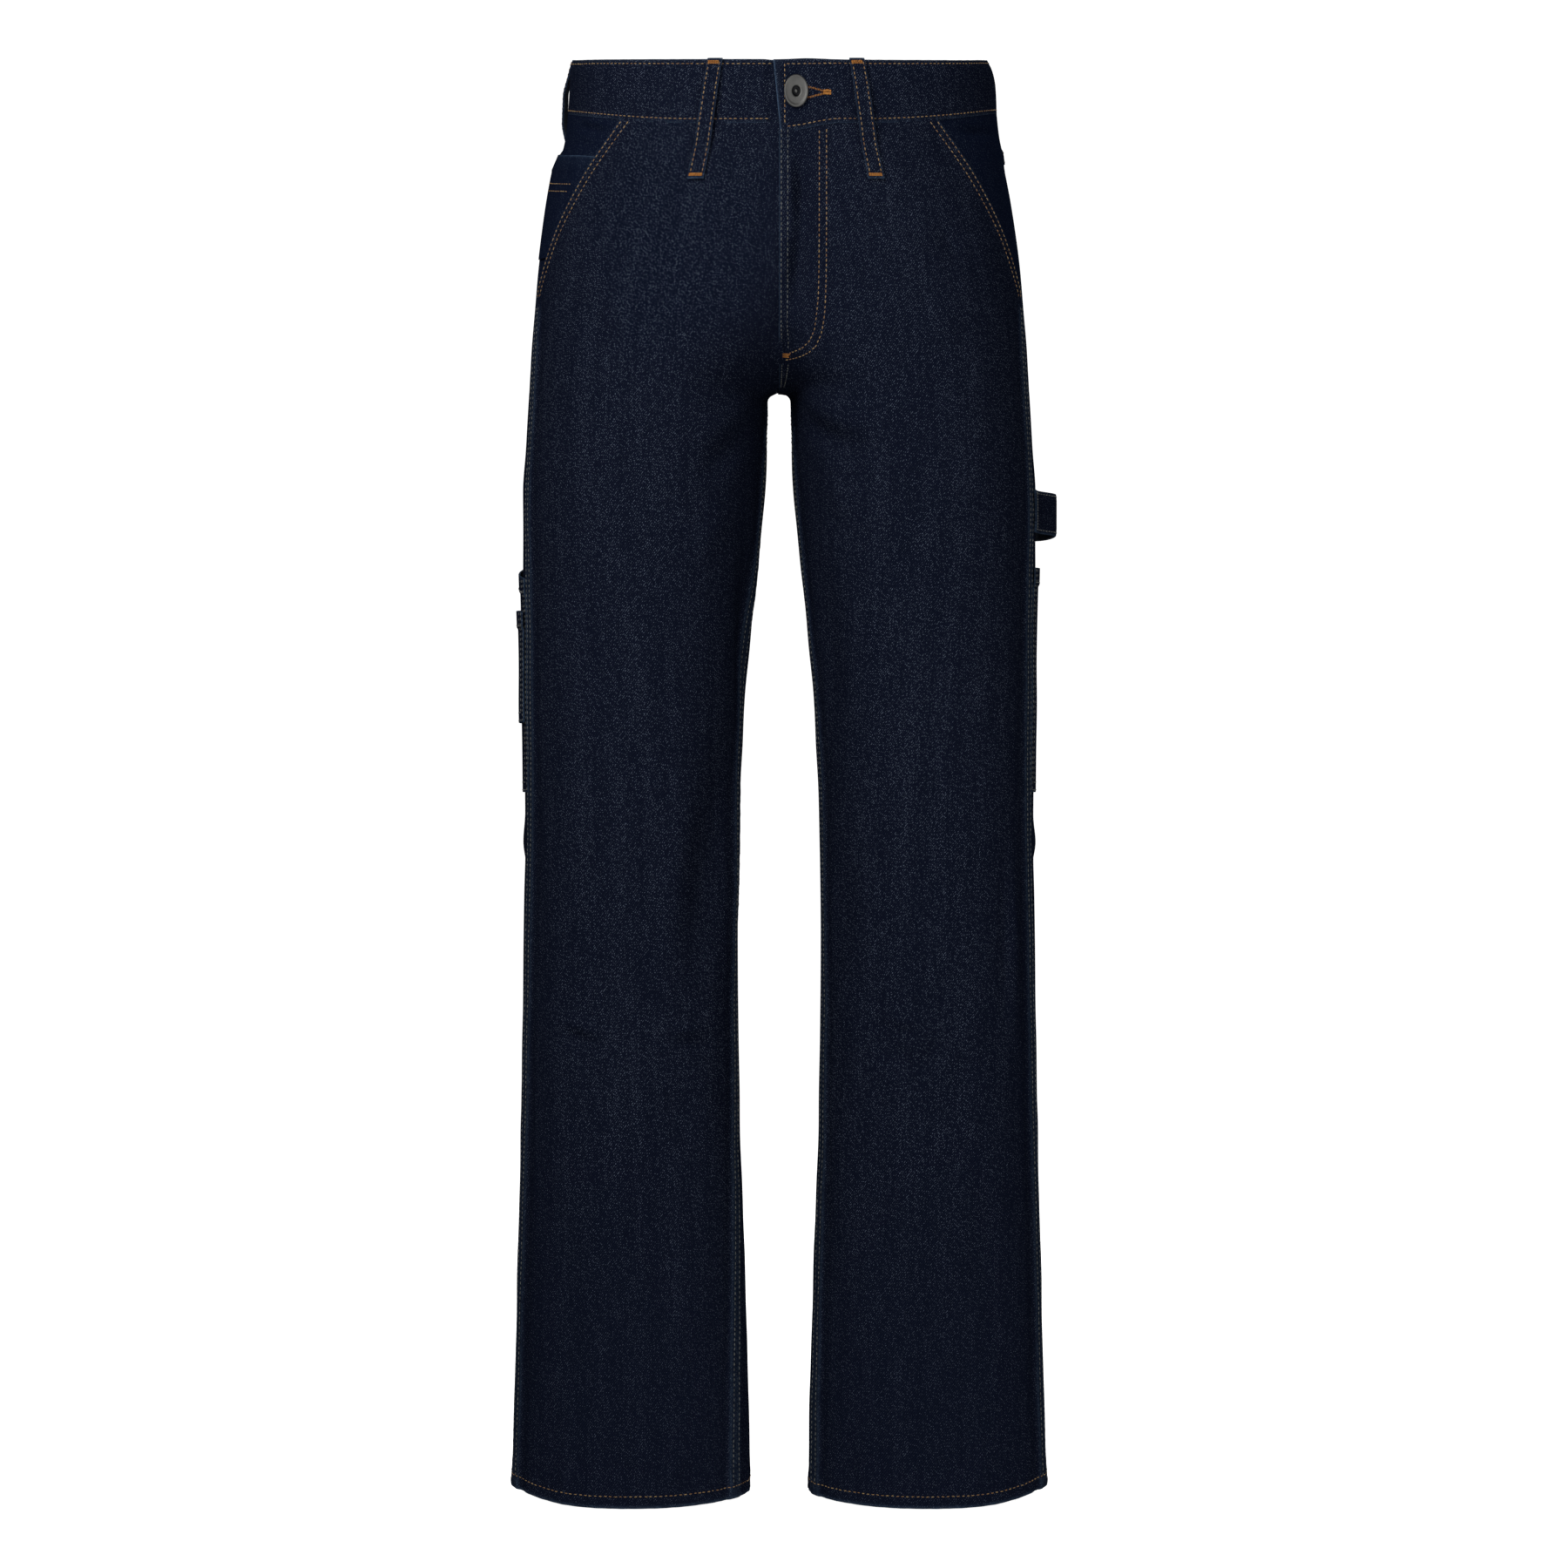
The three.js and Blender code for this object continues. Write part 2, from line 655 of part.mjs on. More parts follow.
// Each row: radius across the button, height off the tab
const BUTTON_PROFILE = [
  [0, 0], [3.2, 0], [3.2, 1.4], [7.9, 1.4], [8.7, 2.1], [8.5, 3.1], [7.9, 3.5],
  [3.2, 3.3], [2.6, 2.6], [1.6, 2.4], [1.2, 3.0], [0, 3.2],
];

function button(name) {
  const profile = BUTTON_PROFILE.map(([radius, height]) => new THREE.Vector2(radius, height));
  const segments = BUTTON_SEGMENTS;
  const normal = bodyNormal(frontArc(BUTTON_HEIGHT) - BUTTON_PLACE, BUTTON_HEIGHT);
  const centre = bandPoint(BUTTON_PLACE, BUTTON_HEIGHT, BUTTON_LIFT);
  const up = new THREE.Vector3(0, 0, 1).addScaledVector(normal, -normal.z).normalize();
  const across = new THREE.Vector3().crossVectors(up, normal);
  const positions = [];
  const faces = [];
  const ringStart = [];
  const stretch = BUTTON_LENGTH / BUTTON_BREADTH;
  profile.forEach((step) => {
    ringStart.push(positions.length / 3);
    const count = step.x === 0 ? 1 : segments;
    for (let i = 0; i < count; i += 1) {
      const angle = (2 * Math.PI * i) / segments;
      const point = centre.clone();
      point.addScaledVector(across, step.x * Math.cos(angle));
      point.addScaledVector(up, step.x * stretch * Math.sin(angle));
      point.addScaledVector(normal, step.y);
      positions.push(point.x, point.y, point.z);
    }
  });
  for (let j = 0; j < profile.length - 1; j += 1) {
    for (let i = 0; i < segments; i += 1) {
      const next = (i + 1) % segments;
      const a = ringStart[j] + i;
      const b = ringStart[j] + next;
      const c = ringStart[j + 1] + next;
      const d = ringStart[j + 1] + i;
      if (j === 0) faces.push([ringStart[0], d, c]);
      else if (j === profile.length - 2) faces.push([a, ringStart[j + 1], b]);
      else faces.push([a, d, c], [a, c, b]);
    }
  }
  addSolid(name, METAL, positions, faces);
}

frontPanel('front_left', LEFT);
frontPanel('front_right', RIGHT);
backPanel('back_left', LEFT);
backPanel('back_right', RIGHT);
yoke('yoke_left', LEFT);
yoke('yoke_right', RIGHT);
hipFacing('hip_facing_left', LEFT);
hipFacing('hip_facing_right', RIGHT);
rulePocket('rule_pocket');
waistband('waistband');
for (const row of LOOP_ROWS) {
  beltLoop(...row);
}
backPocket('back_pocket_left', LEFT);
backPocket('back_pocket_right', RIGHT);
for (const row of POCKET_ROWS) {
  toolPocket(...row);
}
hammerLoop('hammer_loop');
button('button');

export default part;
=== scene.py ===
# %% [markdown]
# # Carpenter jeans
# These notes follow one pair of carpenter jeans from a packed CAD frame to a finished
# render. The frame already holds every piece of the pattern as a plain solid. Here each
# solid is replaced by thin cloth on the same form, with its creases, seams and stitches.

# %% The frame
import math
import bmesh
import bpy
import numpy as np
from mathutils import Matrix, Vector


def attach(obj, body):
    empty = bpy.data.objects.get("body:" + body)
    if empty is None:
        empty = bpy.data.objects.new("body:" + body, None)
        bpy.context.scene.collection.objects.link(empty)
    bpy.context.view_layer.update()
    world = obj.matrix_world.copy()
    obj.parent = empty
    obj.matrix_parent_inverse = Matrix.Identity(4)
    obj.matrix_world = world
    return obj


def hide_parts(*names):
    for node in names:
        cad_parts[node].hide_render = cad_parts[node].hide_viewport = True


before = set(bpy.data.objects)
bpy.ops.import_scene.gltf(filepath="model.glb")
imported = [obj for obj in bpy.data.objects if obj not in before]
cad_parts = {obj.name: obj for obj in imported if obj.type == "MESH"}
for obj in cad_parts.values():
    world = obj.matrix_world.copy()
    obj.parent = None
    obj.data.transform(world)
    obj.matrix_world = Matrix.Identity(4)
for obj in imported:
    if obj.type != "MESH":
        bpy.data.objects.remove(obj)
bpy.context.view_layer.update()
MM = 0.001
LEFT, RIGHT = 1, -1
SIDES = {LEFT: "left", RIGHT: "right"}
print("packed pieces:", len(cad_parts))

# %% [markdown]
# ## The camera
# The photograph is taken straight on, from about three metres, at half the height of the
# jeans. A long lens from that far keeps the two legs almost parallel, and a level camera
# keeps the hems' curves as shallow as they look.

# %% Camera
SENSOR = 36.0
CAMERA_AWAY = 3.0
FRAME_WIDTH = 1.159
MIDDLE = Vector((0.0035, 0.0, -0.535))


def linked(name, data):
    """A new object of the scene that shows this mesh, lamp or camera."""
    piece = bpy.data.objects.new(name, data)
    bpy.context.scene.collection.objects.link(piece)
    return piece


def make_camera():
    data = bpy.data.cameras.new("camera")
    data.sensor_width = SENSOR
    data.lens = SENSOR * CAMERA_AWAY / FRAME_WIDTH
    camera = linked("camera", data)
    camera.location = MIDDLE - Vector((0, CAMERA_AWAY, 0))
    camera.rotation_euler = (math.pi / 2, 0, 0)
    bpy.context.scene.camera = camera
    return camera


camera = make_camera()
print("lens:", round(camera.data.lens, 1), "mm")

# %% [markdown]
# ## The body under the cloth
# Nobody is inside, but the jeans keep a wearer's shape. It is described by a table of
# level sections through one leg and its half of the seat, in millimetres. A smooth curve
# runs down each column, so any height can be asked for and nothing bulges in between.

# %% Sections of the body
BODY_ROWS = np.array([
    # height, outer, peak, inner, front, back
    [0, 152.8, 0, -152.8, 110, 112], [-8, 155.6, 0, -155.6, 111, 113.5],
    [-32, 157.7, 1, -157.7, 112.5, 117], [-58, 160.4, 4, -158.6, 113.5, 122],
    [-84, 166.9, 10, -152.7, 114.5, 127], [-110, 171.6, 19, -139, 115.5, 131],
    [-148, 177, 37, -107, 116.5, 134], [-187, 180.6, 58, -63, 116.5, 133],
    [-212, 182.3, 71, -33, 116, 130.5], [-232, 183.5, 80, -10, 115, 127],
    [-241, 184.1, 84, 2.4, 114.4, 125.2], [-245, 184.3, 85.5, 8, 114.1, 124.4],
    [-247.5, 184.5, 86.4, 10.3, 113.9, 123.9], [-250, 184.7, 87.2, 11.4, 113.7, 123.4],
    [-255, 185, 88.8, 12.1, 113.3, 122.3], [-290, 187.1, 96, 12.3, 110, 115],
    [-320, 189, 99.5, 13.2, 107, 109.5], [-367, 189.2, 102.5, 16.8, 102.5, 103],
    [-419, 188.5, 105, 22.1, 98, 98], [-470, 188.6, 107, 26.3, 94, 94],
    [-547, 187.8, 109, 30.1, 88.5, 88.5], [-650, 188.9, 110, 31.6, 81, 83],
    [-780, 190.8, 110.3, 30.1, 71.5, 74.5], [-882, 193.2, 110.2, 26.8, 65.5, 67.5],
    [-985, 195.8, 110, 23.9, 60, 61], [-1056, 198.4, 110.5, 22.6, 57, 57.5],
])
SEAM_ROWS = np.array([
    # height, outseam forward of the side, inseam forward of the innermost line
    [0, -3, 0], [-40, 3, 0], [-110, 16, 0], [-181, 31, 0], [-215, 37.5, 0], [-245, 41, 0],
    [-262, 42, 8], [-300, 42, 20], [-480, 40, 22], [-700, 28, 19], [-900, 18, 17],
    [-1056, 15, 16],
])
SLANT_ROWS = np.array([
    # height, distance of the slanted pocket edge from the centre
    [-40, 110], [-48.8, 116.2], [-94, 144.5], [-144.5, 167.1], [-181, 177],
])


def lerp(a, b, t):
    """A value between two others, t of the way along."""
    return a + (b - a) * t


def ease(start, end, value):
    """0 before the start, 1 past the end, smooth between."""
    t = np.clip((value - start) / (end - start), 0, 1)
    return t * t * (3 - 2 * t)


def smooth_curve(rows, column):
    """A curve through one column of a table that never swings past its rows."""
    height, value = rows[:, 0], rows[:, column]
    rise = np.diff(value) / np.diff(height)
    slope = np.concatenate([rise[:1], rise[1:] * 0, rise[-1:]])
    same = rise[:-1] * rise[1:] > 0
    both = np.where(same, rise[:-1] + rise[1:], 1)
    slope[1:-1] = np.where(same, 2 * rise[:-1] * rise[1:] / both, 0)

    def curve(at):
        at = np.clip(at, height[-1], height[0])
        i = np.clip(np.searchsorted(-height, -at, side="right") - 1, 0, len(height) - 2)
        span = height[i + 1] - height[i]
        t = (at - height[i]) / span
        return ((2 * t**3 - 3 * t**2 + 1) * value[i] + (t**3 - 2 * t**2 + t) * span * slope[i]
                + (3 * t**2 - 2 * t**3) * value[i + 1] + (t**3 - t**2) * span * slope[i + 1])

    return curve


outer_at, peak_at, inner_at, front_at, back_at = (smooth_curve(BODY_ROWS, c) for c in range(1, 6))
outseam_at, inseam_at = (smooth_curve(SEAM_ROWS, c) for c in (1, 2))
slant_at = smooth_curve(SLANT_ROWS, 1)
print("leg is", float(outer_at(-547) - inner_at(-547)), "mm wide at the knee")

# %% [markdown]
# ## Way and height
# A tailor thinks of cloth as flat, so every place on the jeans gets two flat numbers.
# *Way* is the distance along the cloth, forward from the side of the leg, and *height*
# is how far it lies above or below the waist. One big table turns the pair into a point
# and an outward direction. Everything that is sewn on later uses the same table, so
# pockets, creases and stitches all lie on the same surface.

# %% Table of the surface
FORK_HEIGHT, FORK_RADIUS, SQUARENESS = -245, 8, 2.25
HEM_HEIGHT = -1056
HEIGHT_STEP = 0.5
HEIGHTS = np.arange(4, -1062, -HEIGHT_STEP)
WAYS = np.arange(-380, 381, 1.0)
ARC_STEPS = 240
WAIST_TILT, HEM_SAG, HEM_DEPTH = 0.17, 5, 57


def powered(value, power):
    """A power that keeps the sign, for a squarish oval."""
    return np.sign(value) * np.abs(value) ** power


def half_section(height, facing):
    """Points of half a section, from the side of the leg to its inner line."""
    peak = peak_at(height)
    outward, inward = outer_at(height) - peak, peak - inner_at(height)
    depth = front_at(height) if facing < 0 else back_at(height)
    cut = (FORK_RADIUS - peak) / (outward if peak < FORK_RADIUS else inward)
    angle = np.linspace(0, math.acos(powered(max(-1.0, float(cut)), SQUARENESS / 2)), ARC_STEPS + 1)
    breadth = np.where(angle < math.pi / 2, outward, inward)
    reach = peak + breadth * powered(np.cos(angle), 2 / SQUARENESS)
    x = np.sqrt(np.maximum(0, reach**2 - FORK_RADIUS**2))
    y = facing * depth * powered(np.sin(angle), 2 / SQUARENESS)
    along = np.concatenate([[0], np.cumsum(np.hypot(np.diff(x), np.diff(y)))])
    return x, y, along


def surface_tables():
    """Points, outward directions, arc lengths and pocket edge, row by row."""
    points = np.zeros((len(HEIGHTS), len(WAYS), 3))
    arcs = np.zeros((len(HEIGHTS), 2))
    slant = np.zeros(len(HEIGHTS))
    for row, height in enumerate(HEIGHTS):
        fx, fy, fa = half_section(height, -1)
        bx, by, ba = half_section(height, 1)
        front, back = fa[-1], ba[-1]
        arcs[row] = front, back
        slant[row] = np.interp(-slant_at(height), -fx, fa)
        split = height > FORK_HEIGHT
        distance, mirror = WAYS.copy(), np.ones(len(WAYS))
        past, behind = WAYS > front, WAYS < -back
        distance[past] = 2 * front - WAYS[past] if split else WAYS[past] - front - back
        distance[behind] = -2 * back - WAYS[behind] if split else WAYS[behind] + front + back
        if split:
            mirror[past | behind] = -1
        ahead = distance >= 0
        size = np.abs(distance)
        x = np.where(ahead, np.interp(size, fa, fx), np.interp(size, ba, bx))
        y = np.where(ahead, np.interp(size, fa, fy), np.interp(size, ba, by))
        tilt = WAIST_TILT * y * ease(-230, 0, height)
        sag = HEM_SAG * (y / HEM_DEPTH) ** 2 * ease(-930, HEM_HEIGHT, height)
        points[row] = np.stack([mirror * x, y, height + tilt - sag], axis=1)
    down, forward = np.gradient(points, axis=0), np.gradient(points, axis=1)
    normals = np.cross(forward, down)
    normals /= np.linalg.norm(normals, axis=2, keepdims=True)
    return points, normals, arcs, slant


POINTS, NORMALS, ARCS, SLANT = surface_tables()


def row_of(height):
    """The row of the table at a height, with its fraction."""
    return np.clip((HEIGHTS[0] - height) / HEIGHT_STEP, 0, len(HEIGHTS) - 1.001)


def at_height(column, height):
    """One value for each row of the table, read at any height."""
    return np.interp(row_of(height), np.arange(len(HEIGHTS)), column)


def front_arc(height):
    """Way from the side of the leg to the front's inner edge."""
    return at_height(ARCS[:, 0], height)


def back_arc(height):
    """Way from the side of the leg to the back's inner edge."""
    return at_height(ARCS[:, 1], height)


def body_at(way, height):
    """The point and outward direction at a place on the left half."""
    row, column = row_of(height), np.clip(way - WAYS[0], 0, len(WAYS) - 1.001)
    i, j = row.astype(int), column.astype(int)
    s, t = (row - i)[..., None], (column - j)[..., None]
    found = []
    for table in (POINTS, NORMALS):
        upper = lerp(table[i, j], table[i, j + 1], t)
        lower = lerp(table[i + 1, j], table[i + 1, j + 1], t)
        found.append(lerp(upper, lower, s))
    return found


print("waist:", round(float(2 * (front_arc(-20) + back_arc(-20)))), "mm round")

# %% [markdown]
# ## Creases
# Stiff denim folds in a few soft troughs and ridges, never in an even ripple. Noise would
# give an even ripple, so each crease here is given one by one: where it starts and ends,
# how wide and deep it is, and how much it bows. Those on the front follow the photograph.
# The back gets its own, where such jeans fold: under the seat and behind the knee.

# %% Crease table


def across(distance, height):
    """The place on the front at that distance from the centre."""
    row = int(round(float(row_of(height))))
    ahead = (WAYS > 0) & (WAYS < ARCS[row, 0])
    return float(np.interp(-distance, -POINTS[row, ahead, 0], WAYS[ahead])), height


# Side, start, end, width, depth (ridges are positive) and bow. Both ends are given by
# distance from the centre and height on the front, and by way and height elsewhere.
FRONT_CREASES = [
    # The facings, drawn in below the waistband
    (RIGHT, (150, -50), (118, -56), 4, -1.9, 1),
    (LEFT, (120, -50), (158, -55), 4, -1.9, 1),
    (RIGHT, (152, -60), (126, -67), 5, -0.9, 1),
    # Fly and fork
    (LEFT, (15, -62), (17, -145), 5, -3.6, 1),
    (LEFT, (18, -112), (12, -208), 5.5, -3.8, 2),
    (LEFT, (12, -205), (2, -238), 7, -2.2, 0),
    (RIGHT, (7, -170), (3, -236), 7, -1.4, 0),
    (LEFT, (10, -246), (88, -282), 11, 2.2, 5),
    (LEFT, (16, -262), (80, -300), 9, -1.8, 6),
    (RIGHT, (12, -250), (70, -300), 10, 1.7, -6),
    (RIGHT, (16, -275), (62, -322), 9, -1.5, -5),
    (LEFT, (26, -300), (74, -352), 12, 1.1, 4),
    (RIGHT, (30, -330), (66, -382), 12, 1.1, -4),
    # Pocket bags pressing through below the slanted pockets
    (LEFT, (48, -130), (106, -132), 9, -1.3, -9),
    (LEFT, (106, -132), (132, -154), 9, -1.3, -4),
    (LEFT, (62, -148), (120, -160), 12, 0.9, -8),
    (RIGHT, (58, -112), (124, -96), 9, -1.2, -12),
    (RIGHT, (64, -98), (118, -82), 14, 1.0, -8),
    (RIGHT, (124, -130), (78, -182), 13, 0.8, 6),
    (LEFT, (140, -190), (92, -226), 12, 1.0, 5),
    (RIGHT, (150, -196), (104, -238), 12, -0.9, 5),
    # Inner thighs, where the legs hang in towards each other
    (RIGHT, (24, -330), (30, -500), 15, -2.2, 3),
    (RIGHT, (34, -470), (62, -720), 19, -3.2, -4),
    (RIGHT, (62, -500), (84, -700), 13, 1.6, -4),
    (LEFT, (30, -340), (44, -520), 15, -1.4, 3),
    (LEFT, (48, -560), (40, -700), 14, -1.0, -3),
    # The fold across both legs at the knee
    (RIGHT, (164, -706), (126, -716), 5, 1.6, 2),
    (RIGHT, (160, -716), (124, -727), 6, -1.8, 2),
    (RIGHT, (80, -712), (50, -716), 4, 1.7, 1),
    (RIGHT, (84, -720), (46, -724), 5, -1.7, 1),
    (LEFT, (66, -702), (112, -712), 5, 1.6, -2),
    (LEFT, (70, -712), (106, -744), 9, -2.2, 4),
    (LEFT, (112, -712), (104, -746), 8, -1.9, -3),
    (LEFT, (128, -722), (146, -770), 13, -1.6, 4),
    (LEFT, (170, -560), (172, -745), 6, 1.5, 1),
    # Long soft folds down the shins
    (RIGHT, (74, -730), (72, -812), 13, -1.3, 3),
    (RIGHT, (120, -760), (112, -930), 22, 1.1, -6),
    (RIGHT, (92, -840), (98, -990), 16, -0.9, 5),
    (LEFT, (108, -770), (118, -930), 20, 1.1, 6),
    (LEFT, (84, -830), (80, -1000), 15, -0.9, -4),
    (LEFT, (150, -800), (156, -960), 14, -0.9, 4),
    (RIGHT, (156, -820), (160, -1000), 14, -0.8, 3),
    # Just above the hems
    (RIGHT, (66, -1010), (88, -1046), 8, 1.2, 2),
    (RIGHT, (124, -1004), (112, -1048), 9, -1.2, 2),
    (RIGHT, (150, -1022), (160, -1050), 7, 1.0, 1),
    (LEFT, (70, -1006), (60, -1048), 9, 1.2, 2),
    (LEFT, (112, -1012), (128, -1050), 9, -1.3, 2),
    (LEFT, (154, -1008), (144, -1046), 8, 1.1, 1),
]
SIDE_CREASES = [
    # Sides of the legs
    (LEFT, (12, -560), (-40, -590), 12, 1.4, 5),
    (LEFT, (-4, -690), (-66, -730), 11, -1.8, 6),
    (LEFT, (6, -742), (-50, -760), 12, 1.4, -4),
    (RIGHT, (14, -556), (-46, -596), 12, 1.3, 5),
    (RIGHT, (0, -700), (-60, -726), 11, -1.7, 5),
    (RIGHT, (2, -750), (-44, -776), 12, 1.2, -4),
    (LEFT, (-10, -210), (-60, -250), 14, 1.2, 4),
    (RIGHT, (-6, -216), (-64, -246), 14, 1.2, 4),
    # Under the seat
    (LEFT, (-250, -300), (-120, -330), 12, -2.6, 12),
    (LEFT, (-262, -318), (-160, -356), 12, 2.2, 10),
    (LEFT, (-240, -350), (-130, -372), 13, -1.6, 8),
    (RIGHT, (-256, -304), (-128, -326), 12, -2.5, 12),
    (RIGHT, (-264, -322), (-152, -350), 12, 2.1, 10),
    (RIGHT, (-236, -346), (-140, -376), 13, -1.7, 8),
    (LEFT, (-300, -262), (-240, -300), 10, -1.7, 4),
    (RIGHT, (-302, -260), (-246, -304), 10, -1.6, 4),
    # Behind the knees
    (LEFT, (-208, -612), (-110, -632), 9, -2.4, 6),
    (LEFT, (-214, -630), (-96, -654), 9, 2.1, 7),
    (LEFT, (-196, -658), (-84, -672), 10, -2.4, 6),
    (LEFT, (-212, -684), (-120, -700), 9, 1.8, 5),
    (LEFT, (-184, -706), (-90, -716), 11, -1.8, 5),
    (RIGHT, (-206, -606), (-116, -636), 9, -2.3, 6),
    (RIGHT, (-216, -634), (-92, -650), 9, 2.2, 7),
    (RIGHT, (-190, -660), (-88, -678), 10, -2.2, 6),
    (RIGHT, (-210, -690), (-126, -698), 9, 1.7, 5),
    (RIGHT, (-180, -712), (-96, -722), 11, -1.7, 5),
    # Calves and heels
    (LEFT, (-120, -780), (-134, -930), 20, 1.3, 6),
    (RIGHT, (-116, -770), (-128, -940), 20, 1.2, 6),
    (LEFT, (-90, -960), (-170, -1004), 13, -1.5, 8),
    (RIGHT, (-96, -968), (-166, -1000), 13, -1.4, 8),
    (LEFT, (-100, -1016), (-180, -1034), 9, 1.2, 5),
    (RIGHT, (-92, -1014), (-172, -1036), 9, 1.2, 5),
]
CREASES = [(side, across(*start), across(*end), *rest)
           for side, start, end, *rest in FRONT_CREASES] + SIDE_CREASES
DEPTH_AHEAD, DEPTH_BEHIND, WAVER = 1.9, 1.15, 0.5
WAIST_LEAN, INSEAM_SWING, SWING_REACH = 2.3, 12, 45


def bell(distance, width):
    """1 at no distance, fading softly to 0 on either side."""
    return np.exp(-((distance / width) ** 2))


def uneven(position, length):
    """A wave whose crests come at uneven distances and heights."""
    turn = 2 * np.pi * position / length
    return 0.6 * np.sin(turn + 1.3 * np.sin(0.37 * turn)) + 0.4 * np.sin(1.73 * turn + 0.9)


def creases_at(side, way, height):
    """How far all the creases and a slow unevenness lift the cloth."""
    lift = np.zeros(np.shape(way))
    for crease_side, start, end, width, depth, bow in CREASES:
        start, end = np.array(start), np.array(end)
        half = np.linalg.norm(end - start) / 2
        run = (end - start) / (2 * half)
        from_x, from_y = way - (start[0] + end[0]) / 2, height - (start[1] + end[1]) / 2
        u = (from_x * run[0] + from_y * run[1]) / half
        v = from_y * run[0] - from_x * run[1] - bow * (1 - u**2)
        fade = np.clip(1 - np.abs(u), 0, 1)
        fold = bell(v, width) - 0.35 * bell(v / width - 1.6, 1)
        strength = DEPTH_AHEAD if start[0] > 0 else DEPTH_BEHIND
        here = np.asarray(side) == crease_side
        lift += strength * depth * fold * fade**2 * (3 - 2 * fade) * here
    wide = uneven(way + 0.3 * height, 96) * uneven(height - 0.4 * way, 130)
    below = ease(-60, -160, height)
    return lift + WAVER * wide * below


def lean_at(side, way, height):
    """The waist sits a little to the wearer's left, more so below its stiff top."""
    at_waist = ease(-86, -64, height) * (1 - 0.65 * ease(-20, 0, height))
    return side * WAIST_LEAN * at_waist * ease(78, 30, np.abs(way))


def turned(side, way, height):
    """Below the right knee the inseam has swung forward, as the photograph shows."""
    swing = INSEAM_SWING * ease(-720, -1030, height) * (np.asarray(side) == RIGHT)
    from_front = way - (front_arc(height) - 16)
    from_back = way + back_arc(height) + 16
    close = bell(from_front, SWING_REACH) + bell(from_back, SWING_REACH)
    return way - swing * close


def cloth_point(side, way, height, lift):
    """Points in metres on the creased cloth, with their outward directions."""
    point, normal = body_at(turned(side, way, height), height)
    rise = np.asarray(lift) + creases_at(side, way, height) + lean_at(side, way, height)
    point, normal = point + normal * rise[..., None], normal.copy()
    point[..., 0] *= side
    normal[..., 0] *= side
    return point * MM, normal


print("creases:", len(CREASES))

# %% [markdown]
# ## A piece of cloth
# A grid is the natural start for cloth: its columns and rows stand for the threads. The
# grid is laid on the surface by a small function for each piece, Solidify gives it the
# thickness of denim on the inside, and a narrow Bevel rounds the cut edges. The UV map
# holds real millimetres, so one weave fits every piece at the same scale.

# %% Helper for cloth
SHELL, SHARP = 1.2, math.radians(50)


def steps(start, end, edge_start, edge_end, count):
    """Numbers from 0 to 1 with extra ones close to either edge of a width."""
    width = abs(end - start)
    near = np.array(edge_start, float) / width
    far = 1 - np.array(edge_end, float)[::-1] / width
    first = near[-1] if len(near) else 0.0
    last = far[0] if len(far) else 1.0
    middle = np.linspace(first, last, count)
    return np.unique(np.concatenate([[0, 1], near, middle, far]).round(6))


def cloth(name, columns, rows, lay, materials, thickness=SHELL, round_edge=0.4):
    """A shell of cloth. lay(t, v) gives side, way, height, lift and worn edges."""
    work = bmesh.new()
    across_count, down_count = len(columns) - 1, len(rows) - 1
    bmesh.ops.create_grid(work, x_segments=across_count, y_segments=down_count, size=0.5)
    mesh = bpy.data.meshes.new(name)
    work.to_mesh(mesh)
    work.free()
    flat = np.zeros(len(mesh.vertices) * 3)
    mesh.vertices.foreach_get("co", flat)
    flat = flat.reshape(-1, 3)
    t = columns[np.rint((flat[:, 0] + 0.5) * across_count).astype(int)]
    v = rows[np.rint((flat[:, 1] + 0.5) * down_count).astype(int)]
    side, way, height, lift, worn = np.broadcast_arrays(*lay(t, v))
    points, normals = cloth_point(side, way, height, lift)
    mesh.vertices.foreach_set("co", points.ravel())
    mesh.update()
    facing = np.zeros(len(mesh.vertices) * 3)
    mesh.vertices.foreach_get("normal", facing)
    if (facing.reshape(-1, 3) * normals).sum() < 0:
        mesh.flip_normals()
    corner = np.zeros(len(mesh.loops), int)
    mesh.loops.foreach_get("vertex_index", corner)
    chart = np.stack([-side * way, height], axis=1)[corner] * MM
    mesh.uv_layers.new(name="UVMap").data.foreach_set("uv", chart.ravel())
    mesh.attributes.new("worn", "FLOAT", "POINT").data.foreach_set("value", worn.astype(float))
    for material in materials:
        mesh.materials.append(material)
    mesh.shade_smooth()
    piece = linked(name, mesh)
    wall = piece.modifiers.new("wall", "SOLIDIFY")
    wall.thickness, wall.offset, wall.material_offset = thickness * MM, -1, 1
    edge = piece.modifiers.new("edge", "BEVEL")
    edge.width, edge.segments, edge.limit_method = round_edge * MM, 2, "ANGLE"
    edge.angle_limit = SHARP
    return piece


def rub(distance, amount, fade):
    """How worn the cloth is near a folded edge, which rubs pale first."""
    return amount * np.exp(-np.maximum(0, distance) / fade)


def from_ends(share, size):
    """Distance to the nearer end of a width, from a share of that width."""
    return np.minimum(share, 1 - share) * size


def stand_for(piece, node):
    """Hangs a piece of cloth from the root and hides the solid that it replaces."""
    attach(piece, "root")
    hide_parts(node)


print("cloth:", SHELL, "mm thick")


# %% [markdown]
# ## Writing shader maths
# A weave is a long sum of small terms. Wiring each Math node by hand hides the sum, so
# one small class wraps a socket and lets plain Python write it: `1 - mask` adds a node.

# %% Shader helpers


